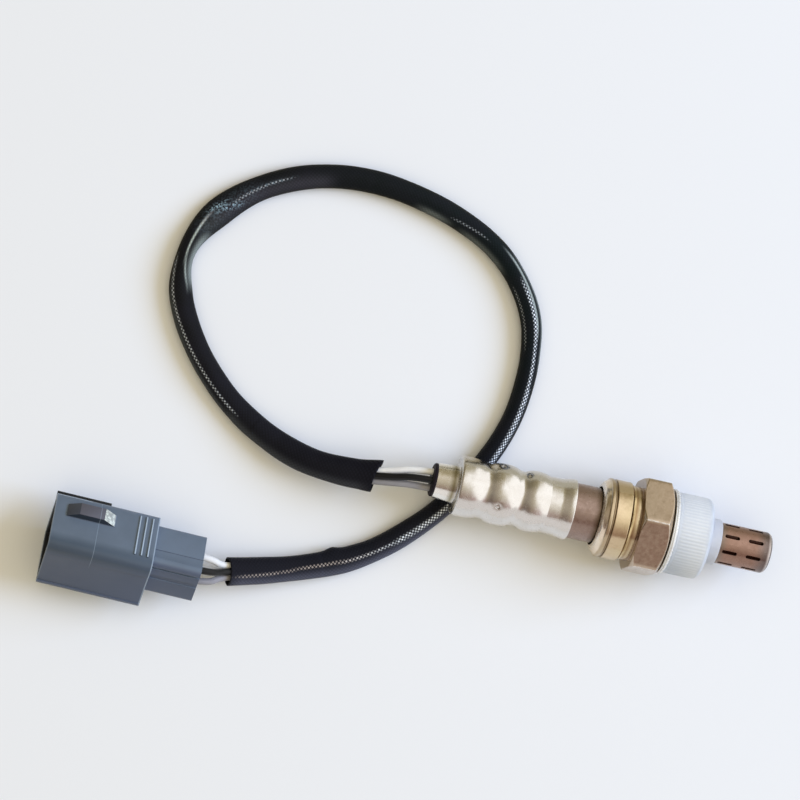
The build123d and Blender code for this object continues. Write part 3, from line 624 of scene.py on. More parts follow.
def shell_shape(x, radius, angle):
    """The vents are pressed in: a shallow dish round each hole, a dent painted dark as shade."""
    if radius < SHELL_OUTSIDE_R or abs(x - VENT_X) > 2.5:
        return radius, 0.0
    turn = (angle - VENT_ROLL + VENT_SPACING / 2) % VENT_SPACING - VENT_SPACING / 2
    away = math.hypot(x - VENT_X, turn * radius)
    dish = DISH_DEPTH * math.exp(-((away / DISH_R) ** 4))
    hole = max(0.0, min(1.0, (VENT_D / 2 + 0.05 - away) / 0.12))
    return radius - dish - VENT_DEPTH * hole, -hole


def make_turned_pieces(finishes):
    """Finer pieces than the solids, turned from their lines."""
    # steps in a rounding, the longest run above a radius, segments round the axis
    for node, line, steps, longest, above, segments, shape in (
        ("housing", HOUSING_LINE, 4, 0.16, 8.3, 300, housing_shape),
        ("gasket_ring", GASKET_LINE, 4, 0.5, 0.0, 180, gasket_shape),
        ("thread_cap", CAP_LINE, 4, 0.8, 0.0, CAP_RIBS * 6, cap_shape),
        ("outer_cover", SHELL_LINE, 7, 0.15, 7.3, 280, shell_shape),
    ):
        slot = SLOT_OF[node]
        points = finer(rounded(line, steps), longest, above)
        made = turned(node + "_turned", points, segments, finishes[slot], shape)
        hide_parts(node)


# -------------------- harness
PLUG_END = 37.2
PLUG_MOUTH = Vector((-145.5, -33.3, -1.7314))
PLUG_TURN = math.radians(-1.3)
PLUG_ROLL = math.radians(40.0)
PLUG_AXIS = Vector((math.cos(PLUG_TURN), math.sin(PLUG_TURN), 0))
PLUG_LEVEL = Vector((-math.sin(PLUG_TURN), math.cos(PLUG_TURN), 0))
PLUG_SIDE = PLUG_LEVEL * math.cos(PLUG_ROLL) - Vector((0, 0, math.sin(PLUG_ROLL)))
PLUG_TOP = PLUG_AXIS.cross(PLUG_SIDE)
HOOD_HALF = 8.3
HOOD_LENGTH = 25.2
CAVITY_HALF = 6.9
CAVITY_LENGTH = 16.5
LATCH_FROM, LATCH_TO = 3.0, 14.8
RIB_MIDDLES = (20.55, 22.1, 23.65)
RIB_LINE = 0.14  # half the width of a rib's rubbed line
RIDGE_LENGTH = 8.6
RAIL_LENGTH = 13.5
PARTING = 10.9


def in_plug(side, top, along):
    """A point in the plug's own directions, in mm."""
    return PLUG_MOUTH + PLUG_SIDE * side + PLUG_TOP * top + PLUG_AXIS * along


HARNESS = [
    (-47.45, 0, 0),
    (-61.4, 0, 0),
    (-68.4, -1.7, -1.3),
    (-78.9, -3.0, -3.9),
    (-91.4, -1.6, -7.3),
    (-105.9, 5.2, SLEEVE_Z),
    (-117.9, 16.0, SLEEVE_Z),
    (-126.7, 29.8, SLEEVE_Z),
    (-127.8, 42.8, SLEEVE_Z),
    (-119.4, 55.5, SLEEVE_Z),
    (-105.9, 64.6, SLEEVE_Z),
    (-88.9, 68.4, SLEEVE_Z),
    (-70.4, 66.2, SLEEVE_Z),
    (-52.4, 59.2, SLEEVE_Z),
    (-41.1, 46.0, SLEEVE_Z),
    (-38.7, 31.5, SLEEVE_Z),
    (-40.3, 17.0, SLEEVE_Z),
    (-46.7, 2.5, SLEEVE_Z),
    (-55.9, -10.5, SLEEVE_Z),
    (-69.4, -22.3, SLEEVE_Z),
    (-85.4, -28.4, SLEEVE_Z + 1.3),
    (-95.4, -31.0, -6.1),
    (-102.6, -32.5, -3.9),
]
SLEEVE_START = (-71.3, -2.1, -2.0)
SLEEVE_END = (-101.4, -32.25, -4.3)
SLEEVE_POINTS = [SLEEVE_START, *HARNESS[3:-1], SLEEVE_END]


def nurbs(name, points, bevel_mm=0.0):
    """A curve of one smooth spline with these control points."""
    curve = bpy.data.curves.new(name, "CURVE")
    curve.dimensions = "3D"
    curve.resolution_u = 12
    spline = curve.splines.new("NURBS")
    spline.points.add(len(points) - 1)
    for knot, point in zip(spline.points, points):
        knot.co = (*(Vector(point) * MM), 1)
    spline.order_u = 3
    spline.use_endpoint_u = True
    curve.bevel_depth = bevel_mm * MM
    curve.bevel_resolution = 5
    curve.use_fill_caps = True
    return curve


def line_of(points):
    """Points along the smooth spline of a route, close together, in metres."""
    probe = bpy.data.objects.new("probe", nurbs("probe", points))
    bpy.context.scene.collection.objects.link(probe)
    mesh = bpy.data.meshes.new_from_object(probe)
    line = [vertex.co.copy() for vertex in mesh.vertices]
    bpy.data.objects.remove(probe)
    return line


def evenly(line, spacing):
    """Points every `spacing` metres along a line, with the distance of each from its start."""
    placed, travelled, due = [], 0.0, 0.0
    for one, other in zip(line, line[1:]):
        length = (other - one).length
        while due <= travelled + length:
            placed.append((due, one.lerp(other, (due - travelled) / length)))
            due += spacing
        travelled += length
    return placed


SLEEVE_STEP = 0.36  # between the rings of the mesh
SLEEVE_SIDES = 84
SLEEVE_GIRTH = 10.9  # width and height together
SLEEVE_LEAST_HEIGHT = 4.9
SLEEVE_LUMPS = 0.13
SLEEVE_CLEAR = 0.03  # over the floor
LINING_RINGS, LINING_STEP = 40, 4
CUT_SLANT, CUT_HOLLOW, CUT_REACH = 1.2, 0.3, 5.0
FOLD_AT, FOLD_HALF_WIDTH, FOLD_OUT = 269.5, 1.8, 0.6
# the sleeve's width in mm at distances from its end at the sensor
SLEEVE_WIDTHS = [
    (0, 8.0),
    (5, 7.2),
    (16, 6.7),
    (32, 6.2),
    (50, 5.7),
    (70, 5.8),
    (79, 4.3),
    (93, 7.0),
    (106, 6.0),
    (122, 5.8),
    (150, 5.6),
    (166, 5.3),
    (184, 5.2),
    (200, 4.8),
    (236, 5.1),
    (258, 5.8),
    (268, 6.3),
    (280, 6.2),
    (290, 6.7),
    (300, 7.1),
]
# Marks on the weave: from and to along it in mm, from and to across it, -1 at the loop's
# inner edge and 1 at the outer, their half width across, and how strong they are.
MARK_FADE = 3  # on either side of where a mark starts and stops, in mm
MARK_LAYERS = ("glint", "sheen", "scuff", "lining")
# the glints are painted highlights on the weave
GLINTS = [
    (38, 78, 0.40, 0.80, 0.10, 0.50),
    (97, 112, -0.05, 0.10, 0.10, 0.35),
    (154, 164, -0.35, -0.05, 0.11, 0.28),
    (178, 205, 0.22, 0.30, 0.15, 1.00),
    (203, 228, 0.30, 0.45, 0.21, 0.95),
    (178, 194, -0.78, -0.72, 0.09, 0.30),
    (234, 254, 0.26, 0.18, 0.20, 1.00),
    (253, 269, 0.15, 0.08, 0.12, 0.65),
    (268, 280, 0.00, 0.05, 0.13, 0.50),
    (279, 295, 0.10, 0.38, 0.12, 0.42),
]
# the sheens are painted sheen: lighter lines and edges standing in for reflected light
SHEENS = [
    (79, 90, -0.02, 0.32, 0.08, 0.90),
    (72, 79, -0.50, -0.10, 0.09, 0.60),
    (72, 86, -0.95, -0.75, 0.34, 0.42),
    (170, 190, 0.52, 0.46, 0.08, 0.75),
    (172, 198, 0.88, 0.92, 0.10, 0.30),
    (146, 153, -0.85, -0.85, 0.22, 0.22),
    (158, 172, -0.90, -0.90, 0.20, 0.16),
    (2, 40, 0.90, 0.90, 0.30, 0.07),
    (40, 70, 0.95, 0.95, 0.16, 0.07),
    (86, 122, -0.30, -0.60, 0.60, 0.05),
    (236, 296, 0.95, 0.95, 0.48, 0.16),
]
SCUFFS = [
    (91, 95, 0.50, 0.30, 0.20, 1.0),
    (93, 98, 0.10, -0.35, 0.24, 0.9),
    (99, 112, 0.05, 0.10, 0.12, 0.25),
    (86, 104, 0.00, 0.00, 0.70, 0.08),
]


def smooth_step(low, high, value):
    """0 below the low end, 1 above the high one, and a soft rise between them."""
    t = max(0.0, min(1.0, (value - low) / (high - low)))
    return t * t * (3 - 2 * t)


def sleeve_size(along):
    """The sleeve's width and height in mm at a distance from its start: wide means flat."""
    width = SLEEVE_WIDTHS[-1][1]
    for (low, one), (high, other) in zip(SLEEVE_WIDTHS, SLEEVE_WIDTHS[1:]):
        if low <= along < high:
            width = one + (other - one) * smooth_step(low, high, along)
    return width, min(max(SLEEVE_GIRTH - width, SLEEVE_LEAST_HEIGHT), SLEEVE_D)


def marked(marks, along, across):
    """How strongly the strongest of these marks shows at a place on the sleeve."""
    most = 0.0
    for low, high, one, other, half_width, strength in marks:
        centre = one + (other - one) * max(0.0, min(1.0, (along - low) / (high - low)))
        begun = smooth_step(low - MARK_FADE, low + MARK_FADE, along)
        over = smooth_step(high - MARK_FADE, high + MARK_FADE, along)
        ends = begun * (1 - over)
        most = max(most, strength * ends * math.exp(-(((across - centre) / half_width) ** 2)))
    return most


def cut_back(along, across):
    """How far in mm the sensor's end of the sleeve is cut back at a place across it."""
    slant = CUT_SLANT * across - CUT_HOLLOW * across * across
    return slant * max(0.0, 1 - along / CUT_REACH)


def make_sleeve():
    """A flattened, slightly lumpy woven tube, open at both ends."""
    line = line_of(SLEEVE_POINTS)
    stations = evenly(line, SLEEVE_STEP * MM)
    segments = SLEEVE_SIDES
    rings = len(stations)
    # a whole number of yarns goes round
    yarns = round(math.pi * SLEEVE_D / WEAVE_PITCH)
    vertices, faces, places, looks = [], [], [], []

    def ring(number, inset):
        """One ring of vertices round a station, drawn in by `inset` mm."""
        along, centre = stations[number]
        along /= MM
        ahead = stations[min(number + 2, rings - 1)][1]
        behind = stations[max(number - 2, 0)][1]
        run = (ahead - behind).normalized()
        outer = Vector((-run.y, run.x, 0)).normalized()
        up = run.cross(outer)
        width, height = sleeve_size(along)
        # where it lies on the floor, a flatter part sinks to it
        drop = 0.0
        if centre.z / MM < SLEEVE_Z + 0.8:
            drop = min(0.0, (height - 2 * SLEEVE_LIFT) / 2)
        for step in range(segments):
            angle = 2 * math.pi * step / segments
            across = math.cos(angle)
            lump = noise.noise(Vector((along * 0.11, across * 0.8, math.sin(angle) * 0.8)))
            fold = math.exp(-(((along - FOLD_AT) / FOLD_HALF_WIDTH) ** 2)) * max(0.0, -across)
            half_width = width / 2 - inset + SLEEVE_LUMPS * lump + FOLD_OUT * fold
            half_height = height / 2 - inset + SLEEVE_LUMPS * lump
            point = centre + (outer * across * half_width + up * math.sin(angle) * half_height) * MM
            point += run * cut_back(along, across) * MM
            point.z = max(point.z + drop * MM, (FLOOR + inset + SLEEVE_CLEAR) * MM)
            vertices.append(point)
            places.append((along * MM, yarns * WEAVE_PITCH * step / segments * MM))
            marks = [0.0, 0.0, 0.0]
            if math.sin(angle) > -0.3 and not inset:
                marks = [marked(kind, along, across) for kind in (GLINTS, SHEENS, SCUFFS)]
            looks.append((*marks, 1.0 if inset else 0.0))

    def join(one, other, flip=False):
        """Faces between two rings, told by their first vertices."""
        for step in range(segments):
            side = (step + 1) % segments
            quad = (one + step, one + side, other + side, other + step)
            faces.append(quad[::-1] if flip else quad)

    for number in range(rings):
        ring(number, 0.0)
    for number in range(rings - 1):
        join(number * segments, (number + 1) * segments)
    # the lining of each open end, closed off out of sight
    for numbers, first, flip in (
        (range(0, LINING_RINGS, LINING_STEP), 0, True),
        (range(rings - 1, rings - 1 - LINING_RINGS, -LINING_STEP), (rings - 1) * segments, False),
    ):
        previous = first
        for number in numbers:
            here = len(vertices)
            ring(number, SLEEVE_WALL)
            join(previous, here, flip)
            previous = here
        last = list(range(previous, previous + segments))
        faces.append(last if flip else last[::-1])
    mesh = bpy.data.meshes.new("sleeve_braid")
    mesh.from_pydata(vertices, [], faces)
    weave = mesh.uv_layers.new(name="braid")
    for loop in mesh.loops:
        weave.data[loop.index].uv = places[loop.vertex_index]
    for number, name in enumerate(MARK_LAYERS):
        layer = mesh.attributes.new(name, "FLOAT", "POINT")
        layer.data.foreach_set("value", [look[number] for look in looks])
    mesh.shade_smooth()
    work = bmesh.new()
    work.from_mesh(mesh)
    bmesh.ops.recalc_face_normals(work, faces=work.faces)
    work.to_mesh(mesh)
    work.free()
    made = link_object("sleeve_braid", mesh, braid_black(stations[-1][0]))
    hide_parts("sleeve")


# name, left or right of the bundle, above or below it, cavity in the plug, its pin, slot
WIRES = [
    ("wire_white_1", -1, 0, (1, 1), 2, "wire_white"),
    ("wire_black", 0, 1, (-1, 1), 3, "wire_black"),
    ("wire_grey", 1, 0, (-1, -1), 4, "wire_grey"),
    ("wire_white_2", 0, -1, (1, -1), 1, "wire_white"),
]
POINTS_IN_SENSOR = 2  # of the harness
CIRCLE_IN_SENSOR = 2.05
CIRCLE_IN_SLEEVE = 1.27
CAVITY_PITCH = 2.3
BODY_SHIFT = (0.84, 0.71)
WIRE_TURNS_IN = 2.2  # behind the plug
WIRE_GOES_IN = 10.1  # to the barrel of its pin


def wire_route(side, rise, cavity):
    """The wire keeps its place in the bundle: beside and above the harness's own points."""
    points = []
    for number, point in enumerate(HARNESS):
        before = Vector(HARNESS[max(number - 1, 0)])
        after = Vector(HARNESS[min(number + 1, len(HARNESS) - 1)])
        run = after - before
        circle, level = CIRCLE_IN_SLEEVE, Vector((-run.y, run.x, 0)).normalized()
        if number < POINTS_IN_SENSOR:
            circle, level = CIRCLE_IN_SENSOR, Vector((0, -1, 0))
        points.append(Vector(point) + level * side * circle + Vector((0, 0, rise * circle)))
    cavity_side = BODY_SHIFT[0] + cavity[0] * CAVITY_PITCH
    cavity_top = BODY_SHIFT[1] + cavity[1] * CAVITY_PITCH
    points.append(in_plug(cavity_side, cavity_top, PLUG_END + WIRE_TURNS_IN))
    points.append(in_plug(cavity_side, cavity_top, PLUG_END - WIRE_GOES_IN))
    return points


def make_wires():
    """Each lead in one run, from its contact through the sleeve to its pin."""
    paints = {
        "wire_white": insulation("wire_white_paint", (0.88, 0.88, 0.88)),
        "wire_black": insulation("wire_black_paint", (0.008, 0.008, 0.009), 0.25),
        "wire_grey": insulation("wire_grey_paint", (0.30, 0.295, 0.33)),
    }
    for name, side, rise, cavity, pin, slot in WIRES:
        route = wire_route(side, rise, cavity)
        line = line_of(route)
        curve = nurbs(name + "_lead", route, WIRE_D / 2)
        made = bpy.data.objects.new(name + "_lead", curve)
        bpy.context.scene.collection.objects.link(made)
        curve.materials.append(paints[slot])
        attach(made, "root")
        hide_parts(name)


# -------------------- materials
def insulation(name, colour, shine=0.5):
    """Smooth plastic with a little dirt on it."""
    material, tree, shader, place = new_material(name)
    dirt = noise_at(tree, place, 3.0)
    dirty = tuple(part * 0.72 for part in colour)
    tone = mixed(tree, scaled(tree, dirt, 0.4, 0.7, 0.0, 0.35), colour, dirty)
    set_inputs(
        shader,
        Base_Color=tone,
        Roughness=scaled(tree, dirt, 0.3, 0.7, 0.28, 0.42),
        Specular_IOR_Level=shine,
        Normal=bump(tree, noise_at(tree, place, 0.5), 0.02, 0.4),
    )
    return material


def braid_black(total):
    """Black lacquered braid; its UV map is in metres along and around the sleeve."""
    material, tree, shader, place = new_material("braid_black")
    uv = axes_of(tree, add(tree, "UVMap", {"uv_map": "braid"}).outputs[0])
    marks = {name: mesh_value(tree, name) for name in MARK_LAYERS}
    run = scaled(tree, uv["X"], 0.0, total)  # 0 at the sensor, 1 at the plug
    # the crests of yarns that cross at 45 degrees to the sleeve
    per_metre = math.pi / (WEAVE_PITCH * MM)
    one = maths(tree, "MULTIPLY", maths(tree, "ADD", uv["X"], uv["Y"]), per_metre)
    other = maths(tree, "MULTIPLY", maths(tree, "SUBTRACT", uv["X"], uv["Y"]), per_metre)
    crests = product(
        tree,
        maths(tree, "ABSOLUTE", maths(tree, "SINE", one)),
        maths(tree, "ABSOLUTE", maths(tree, "SINE", other)),
    )
    blotch = noise_at(tree, place, 7.0)
    fine = noise_at(tree, place, 0.8, 2.0)
    tone = ramp(
        tree,
        run,
        (0.0, (0.0075, 0.0075, 0.0115)),
        (0.22, (0.0095, 0.0095, 0.0110)),
        (0.45, (0.0075, 0.0095, 0.0100)),
        (0.60, (0.0060, 0.0110, 0.0120)),
        (0.74, (0.0070, 0.0090, 0.0130)),
        (1.0, (0.0105, 0.0105, 0.0155)),
    )
    tone = mixed(tree, scaled(tree, blotch, 0.4, 0.7, 0.0, 0.6), tone, (0.012, 0.012, 0.017))
    tone = mixed(tree, scaled(tree, crests, 0.35, 0.85, 0.0, 0.25), tone, (0.017, 0.018, 0.025))
    # painted sheen
    sheen = product(tree, marks["sheen"], scaled(tree, crests, 0.0, 0.6, 0.7, 1.0))
    haze = ramp(
        tree,
        run,
        (0.0, (0.56, 0.60, 0.74)),
        (0.24, (0.62, 0.70, 0.66)),
        (0.29, (0.62, 0.70, 0.66)),
        (0.32, (0.62, 0.58, 0.72)),
        (0.41, (0.62, 0.58, 0.72)),
        (0.50, (0.62, 0.70, 0.68)),
        (0.74, (0.62, 0.70, 0.68)),
        (0.80, (0.52, 0.55, 0.76)),
    )
    tone = mixed(tree, sheen, tone, haze)
    flecks = noise_at(tree, place, 0.5, 2.0)
    pale_marks = product(tree, marks["scuff"], scaled(tree, flecks, 0.45, 0.62))
    tone = mixed(tree, pale_marks, tone, (0.36, 0.52, 0.63))
    # painted highlights: glints on the yarn crests
    dots = scaled(tree, crests, 0.30, 0.62)
    broken = product(tree, dots, scaled(tree, fine, 0.34, 0.50, 0.35, 1.0))
    lit = scaled(tree, marks["glint"], 0.05, 0.75)
    gleam = ramp(tree, run, (0.86, (0.84, 0.90, 0.98)), (0.91, (0.70, 0.60, 0.54)))
    tone = mixed(tree, product(tree, lit, broken), tone, gleam)
    # the inside of the open ends is painted darker, as shade
    tone = mixed(tree, marks["lining"], tone, (0.006, 0.006, 0.007))
    set_inputs(
        shader,
        Base_Color=tone,
        Roughness=scaled(tree, blotch, 0.3, 0.7, 0.30, 0.44),
        Specular_IOR_Level=0.05,
        Normal=bump(tree, crests, 0.07, 0.8),
    )
    return material


def plain(name, colour, roughness, metallic=0.0, spot_mm=2.0, depth=0.01, shine=0.5):
    """A quiet finish with blotches of tone and a fine grain."""
    material, tree, shader, place = new_material(name)
    blotch = noise_at(tree, place, spot_mm)
    darker = tuple(part * 0.75 for part in colour)
    tone = mixed(tree, scaled(tree, blotch, 0.35, 0.7, 0.0, 0.5), colour, darker)
    set_inputs(
        shader,
        Base_Color=tone,
        Metallic=metallic,
        Specular_IOR_Level=shine,
        Roughness=scaled(tree, blotch, 0.3, 0.7, roughness * 0.85, roughness * 1.2),
        Normal=bump(tree, noise_at(tree, place, 0.25), depth, 0.5),
    )
    return material


def metal(name, tints, roughness, blotch_mm, blotch, dull=0.0):
    """Turned or drawn metal: fine rings about X, blotches, and tints of (x_mm, colour)."""
    material, tree, shader, place = new_material(name)
    axes = axes_of(tree, place)
    base = tints[0][1]
    if len(tints) > 1:
        low, high = tints[0][0], tints[-1][0]
        stops = [((x - low) / (high - low), tint) for x, tint in tints]
        base = ramp(tree, scaled(tree, axes["X"], low * MM, high * MM), *stops)
    cloud = noise_at(tree, place, blotch_mm, 4.0)
    dark = mixed(tree, 1.0, base, (0.62, 0.56, 0.48), "MULTIPLY")
    tone = mixed(tree, scaled(tree, cloud, 0.45, 0.75, 0.0, blotch), base, dark)
    wear_and_light_mark = mesh_value(tree, "wear_and_painted_light")
    specks = scaled(tree, noise_at(tree, place, 0.35, 2.0), 0.35, 0.6, 0.2, 1.0)
    # pale edges, partly wear and partly a painted highlight; gaps painted near black as shade
    edge = product(tree, scaled(tree, wear_and_light_mark, 0.2, 1.0), specks)
    tone = mixed(tree, edge, tone, (0.93, 0.90, 0.86))
    tone = mixed(tree, scaled(tree, wear_and_light_mark, -0.8, -0.1, 1.0, 0.0), tone, (0.015, 0.012, 0.010))
    # the gaps painted dark as shade are not metallic, and the pale edges are less so
    bare = scaled(tree, wear_and_light_mark, -0.8, -0.1, 0.0, 1.0 - dull)
    haze = noise_at(tree, place, 0.9)
    lathe = add(
        tree,
        "TexNoise",
        Vector=add(tree, "CombineXYZ", X=axes["X"], Y=0.0, Z=0.0).outputs[0],
        Scale=1 / (0.12 * MM),
        Detail=2.0,
    ).outputs[0]
    dents = bump(tree, noise_at(tree, place, 1.6, 3.0), 0.03, 0.5)
    set_inputs(
        shader,
        Base_Color=tone,
        Metallic=product(tree, bare, scaled(tree, edge, 0.0, 1.0, 1.0, 0.4)),
        Roughness=scaled(tree, haze, 0.3, 0.75, roughness * 0.8, roughness * 1.6),
        Normal=bump(tree, lathe, 0.003, 1.0, dents),
    )
    return material


def shell_steel():
    """Bright sheet, darker brown round the root of the neck."""
    tints = (
        (NECK_REAR, (0.90, 0.86, 0.80)),
        (-54.4, (0.86, 0.83, 0.77)),
        (SHOULDER - 1.0, (0.30, 0.26, 0.16)),
        (SHOULDER, (0.70, 0.67, 0.63)),
        (SHELL_FRONT, (0.73, 0.70, 0.66)),
    )
    return metal("satin_shell", tints, roughness=0.2, blotch_mm=3.5, blotch=0.25)


def washer_steel():
    """Plain steel, less metallic than the rest."""
    tints = ((0.0, (0.80, 0.80, 0.79)),)
    return metal("washer_steel", tints, roughness=0.25, blotch_mm=1.2, blotch=0.1, dull=0.6)


def housing_steel():
    """Forged steel with straw and brown heat tints from the collar to the hex, and painted shade in
    its grooves.
    """
    tints = (
        (-17.1, (0.85, 0.74, 0.62)),
        (-15.7, (0.85, 0.72, 0.56)),
        (-15.3, (0.52, 0.41, 0.27)),
        (-14.6, (0.52, 0.41, 0.27)),
        # painted shade in the collar's groove
        (-14.4, (0.28, 0.20, 0.12)),
        (-13.9, (0.30, 0.22, 0.13)),
        (-13.7, (0.65, 0.51, 0.33)),
        (-10.2, (0.63, 0.50, 0.31)),
        (-9.6, (0.66, 0.52, 0.28)),
        # painted shade in the groove before the hex and at the hex's rear face
        (-9.0, (0.34, 0.22, 0.11)),
        (-8.2, (0.60, 0.48, 0.30)),
        (-7.6, (0.30, 0.20, 0.13)),
        (-7.4, (0.50, 0.40, 0.30)),
        (0.0, (0.51, 0.40, 0.30)),
    )
    return metal("tinted_steel", tints, roughness=0.17, blotch_mm=2.2, blotch=0.4)


def browned_steel():
    """Steel that heat has browned; dark red and dull inside the protector, which is painted shade.
    """
    brown = (0.325, 0.235, 0.195)
    # painted shade next to the collar's lip
    shaded = (0.12, 0.08, 0.05)
    tints = (
        (-25.0, brown),
        (-18.7, brown),
        (-17.3, shaded),
        (-16.0, shaded),
        (-12.0, brown),
        (13.6, (0.24, 0.20, 0.165)),
        (15.5, (0.33, 0.205, 0.155)),
        (22.5, (0.33, 0.205, 0.16)),
        # a ring of painted shade before the tip, then a painted highlight on its rim
        (25.0, (0.20, 0.155, 0.14)),
        (25.6, (0.17, 0.13, 0.12)),
        (26.2, (0.60, 0.54, 0.51)),
        (27.0, (0.80, 0.76, 0.73)),
    )
    material = metal("browned_steel", tints, roughness=0.27, blotch_mm=2.0, blotch=0.4)
    tree = material.node_tree
    shader = next(node for node in tree.nodes if node.type == "BSDF_PRINCIPLED")
    axes = axes_of(tree, add(tree, "TexCoord").outputs["Object"])
    squares = product(tree, axes["Z"], axes["Z"])
    radius = maths(tree, "SQRT", maths(tree, "MULTIPLY_ADD", axes["Y"], axes["Y"], squares))
    # the inside, seen through the slots, is painted near-black red as shade
    tip = scaled(tree, axes["X"], 13.0 * MM, 13.5 * MM)
    inside = product(tree, tip, scaled(tree, radius, 4.6 * MM, 4.85 * MM, 1.0, 0.0))
    shown = shader.inputs["Base Color"].links[0].from_socket
    set_inputs(
        shader,
        Base_Color=mixed(tree, inside, shown, (0.03, 0.008, 0.004)),
        Metallic=maths(tree, "SUBTRACT", 1.0, inside),
    )
    return material


def cap_plastic():
    """Milky polythene, bluish, through which a little light passes."""
    material, tree, shader, place = new_material("milky_cap")
    axes = axes_of(tree, place)
    along = scaled(tree, axes["X"], 0.0, 14.0 * MM)
    cloud = noise_at(tree, place, 4.0)
    # darker from the front rim on: painted shade
    tone = ramp(
        tree,
        maths(tree, "MULTIPLY_ADD", cloud, 0.16, maths(tree, "SUBTRACT", along, 0.08)),
        (0.12, (0.78, 0.81, 0.86)),
        (0.45, (0.88, 0.91, 0.95)),
        (0.64, (0.84, 0.87, 0.91)),
        (0.71, (0.70, 0.73, 0.78)),
        (0.80, (0.70, 0.71, 0.76)),
        (1.0, (0.68, 0.68, 0.73)),
    )
    # painted shade: bluer towards the near side of its rear end, and between the ribs
    near = scaled(tree, axes["Y"], -9 * MM, 2 * MM, 1.0, 0.0)
    rear = scaled(tree, along, 0.25, 0.7, 1.0, 0.0)
    tone = mixed(tree, product(tree, near, rear), tone, (0.60, 0.66, 0.76))
    valley = scaled(tree, mesh_value(tree, "wear_and_painted_light"), 0.2, 0.9, 0.25, 0.0)
    tone = mixed(tree, valley, tone, (0.50, 0.55, 0.64))
    set_inputs(
        shader,
        Base_Color=tone,
        Roughness=0.34,
        Subsurface_Weight=0.5,
        Subsurface_Radius=(1.0, 1.0, 1.0),
        Subsurface_Scale=1.2 * MM,
        Transmission_Weight=0.12,
        Specular_IOR_Level=0.5,
        Normal=bump(tree, noise_at(tree, place, 0.8), 0.02, 0.5),
    )
    return material


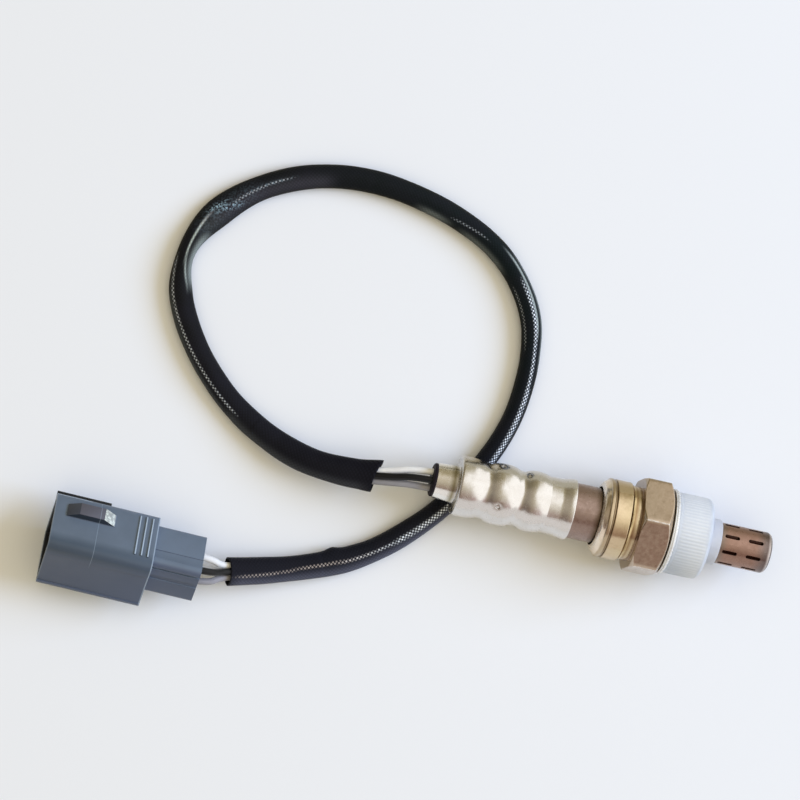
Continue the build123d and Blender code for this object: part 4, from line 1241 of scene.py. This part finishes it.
def plug_plastic():
    """Slate blue plastic; the pale lines on its edges and the tones of the latch's faces are
    painted light and shade.
    """
    material, tree, shader, place = new_material("plug_plastic")
    mouth = tuple(PLUG_MOUTH * MM)
    moved = add(tree, "VectorMath", {"operation": "SUBTRACT"}, _0=place, _1=mouth).outputs[0]
    facing = add(tree, "NewGeometry").outputs["True Normal"]

    def part_of(vector, axis):
        """How far a vector goes along a direction."""
        dot = add(tree, "VectorMath", {"operation": "DOT_PRODUCT"}, _0=vector, _1=tuple(axis))
        return dot.outputs["Value"]

    side, top, along = (part_of(moved, axis) for axis in (PLUG_SIDE, PLUG_TOP, PLUG_AXIS))
    side_face, end_face = (part_of(facing, axis) for axis in (PLUG_SIDE, PLUG_AXIS))

    def band(value, low, high, soft=0.05):
        """1 between two distances in mm, and 0 outside them."""
        rise = scaled(tree, value, (low - soft) * MM, (low + soft) * MM)
        fall = scaled(tree, value, (high - soft) * MM, (high + soft) * MM, 1.0, 0.0)
        return product(tree, rise, fall)

    cloud = noise_at(tree, place, 6.0)
    tone = ramp(tree, cloud, (0.3, (0.118, 0.152, 0.200)), (0.7, (0.136, 0.174, 0.228)))
    # painted shade: the near wall is darker and greyer, and the corner between the two upper faces
    # darker
    near_wall = maths(
        tree,
        "MAXIMUM",
        scaled(tree, side_face, -0.9, -0.5, 1.0, 0.0),
        scaled(tree, side, (0.2 - HOOD_HALF) * MM, (0.7 - HOOD_HALF) * MM, 1.0, 0.0),
    )
    tone = mixed(tree, near_wall, tone, (0.085, 0.106, 0.160))
    spread = maths(tree, "SUBTRACT", top, side)
    corner = scaled(tree, spread, 12.4 * MM, 14.8 * MM, 0.0, 0.75)
    corner = product(tree, corner, band(along, -1.0, HOOD_LENGTH))
    tone = mixed(tree, corner, tone, (0.048, 0.070, 0.100))
    # no light reaches the inside of the hood
    inside = product(
        tree,
        band(side, -CAVITY_HALF, CAVITY_HALF),
        band(top, -CAVITY_HALF, CAVITY_HALF),
        band(along, 0.05, CAVITY_LENGTH),
    )
    tone = mixed(tree, inside, tone, (0.006, 0.007, 0.008))
    # latch: violet on top, painted shade in front and on its near side, a painted highlight on the
    # slope behind
    raised = scaled(tree, top, (HOOD_HALF + 0.15) * MM, (HOOD_HALF + 0.3) * MM)
    latch = product(tree, raised, band(along, LATCH_FROM - 0.3, LATCH_TO + 0.3))
    mottle = scaled(tree, noise_at(tree, place, 0.9, 2.0), 0.42, 0.58, 0.45, 1.0)
    slope = product(tree, scaled(tree, end_face, 0.15, 0.35), mottle)
    tone = mixed(tree, latch, tone, (0.105, 0.105, 0.130))
    for faces, colour in (
        (scaled(tree, end_face, -0.5, -0.2, 1.0, 0.0), (0.035, 0.042, 0.055)),
        (scaled(tree, side_face, -0.8, -0.4, 1.0, 0.0), (0.022, 0.032, 0.052)),
        (slope, (0.70, 0.75, 0.70)),
    ):
        tone = mixed(tree, product(tree, latch, faces), tone, colour)
    # painted highlights: pale lines on the rib crests, the rims, the parting line and the ridge
    crest = band(top, HOOD_HALF + 0.24, HOOD_HALF + 0.5, 0.03)
    parting = product(
        tree,
        band(along, PARTING - 0.06, PARTING + 0.06),
        scaled(tree, top, 2.0 * MM, 4.5 * MM),
    )
    ridge = product(
        tree,
        band(side, 7.2, 7.6),
        band(top, 7.6, 8.4),
        band(along, -0.1, RIDGE_LENGTH),
    )
    pale_marks = [
        (product(tree, crest, band(along, middle - RIB_LINE, middle + RIB_LINE, 0.03)), 0.85)
        for middle in RIB_MIDDLES
    ]
    pale_marks += [
        (band(along, HOOD_LENGTH - 0.28, HOOD_LENGTH + 0.05, 0.03), 0.50),
        (parting, 0.32),
        (band(along, -0.1, 0.22, 0.03), 0.10),
        (ridge, 0.60),
    ]
    for mask, strength in pale_marks:
        tone = mixed(tree, product(tree, mask, strength), tone, (0.46, 0.56, 0.68))
    # the rail along the far edge is painted nearly black, as shade
    rail = product(tree, band(side, 8.42, 11.0), band(along, -0.1, RAIL_LENGTH))
    tone = mixed(tree, rail, tone, (0.012, 0.013, 0.016))
    set_inputs(
        shader,
        Base_Color=tone,
        Roughness=scaled(tree, cloud, 0.3, 0.7, 0.36, 0.48),
        Specular_IOR_Level=0.35,
        Normal=bump(tree, noise_at(tree, place, 0.25), 0.006, 0.5),
    )
    return material


FINISHES = {
    "nickel_steel": shell_steel,
    "forged_steel": housing_steel,
    "washer_steel": washer_steel,
    "protector_steel": browned_steel,
    "cap_plastic": cap_plastic,
    "zirconia": lambda: plain("zirconia", (0.80, 0.78, 0.72), 0.6),
    "alumina": lambda: plain("alumina", (0.85, 0.84, 0.80), 0.6),
    "talc": lambda: plain("talc", (0.60, 0.60, 0.58), 0.8),
    "packing_steel": lambda: plain("packing_steel", (0.5, 0.49, 0.47), 0.4, metallic=1.0),
    "ptfe": lambda: plain("ptfe", (0.85, 0.85, 0.84), 0.6),
    "terminal_metal": lambda: plain("terminal_metal", (0.66, 0.63, 0.58), 0.3, metallic=1.0),
    "seal_rubber": lambda: plain(
        "seal_rubber", (0.014, 0.010, 0.015), 0.6, spot_mm=0.8, depth=0.05, shine=0.15
    ),
    "plug_plastic": plug_plastic,
    "lock_plastic": lambda: plain("lock_plastic", (0.30, 0.30, 0.29), 0.5),
}


def dress_nodes():
    """Every CAD node gets the finish of its slot."""
    made = {}
    for node, slot in SLOT_OF.items():
        if slot not in FINISHES:
            continue
        if slot not in made:
            made[slot] = FINISHES[slot]()
        mesh = frame["nodes"][node].data
        mesh.materials.clear()
        mesh.materials.append(made[slot])
    return made


# -------------------- put together
make_camera()
make_lamp()
make_world()
make_floor()
finishes = dress_nodes()
make_turned_pieces(finishes)
softened(
    "connector_housing", finishes["plug_plastic"], width_mm=0.22, segments=3
)
make_sleeve()
make_wires()

bpy.context.scene.view_settings.view_transform = "Standard"
bpy.context.view_layer.update()
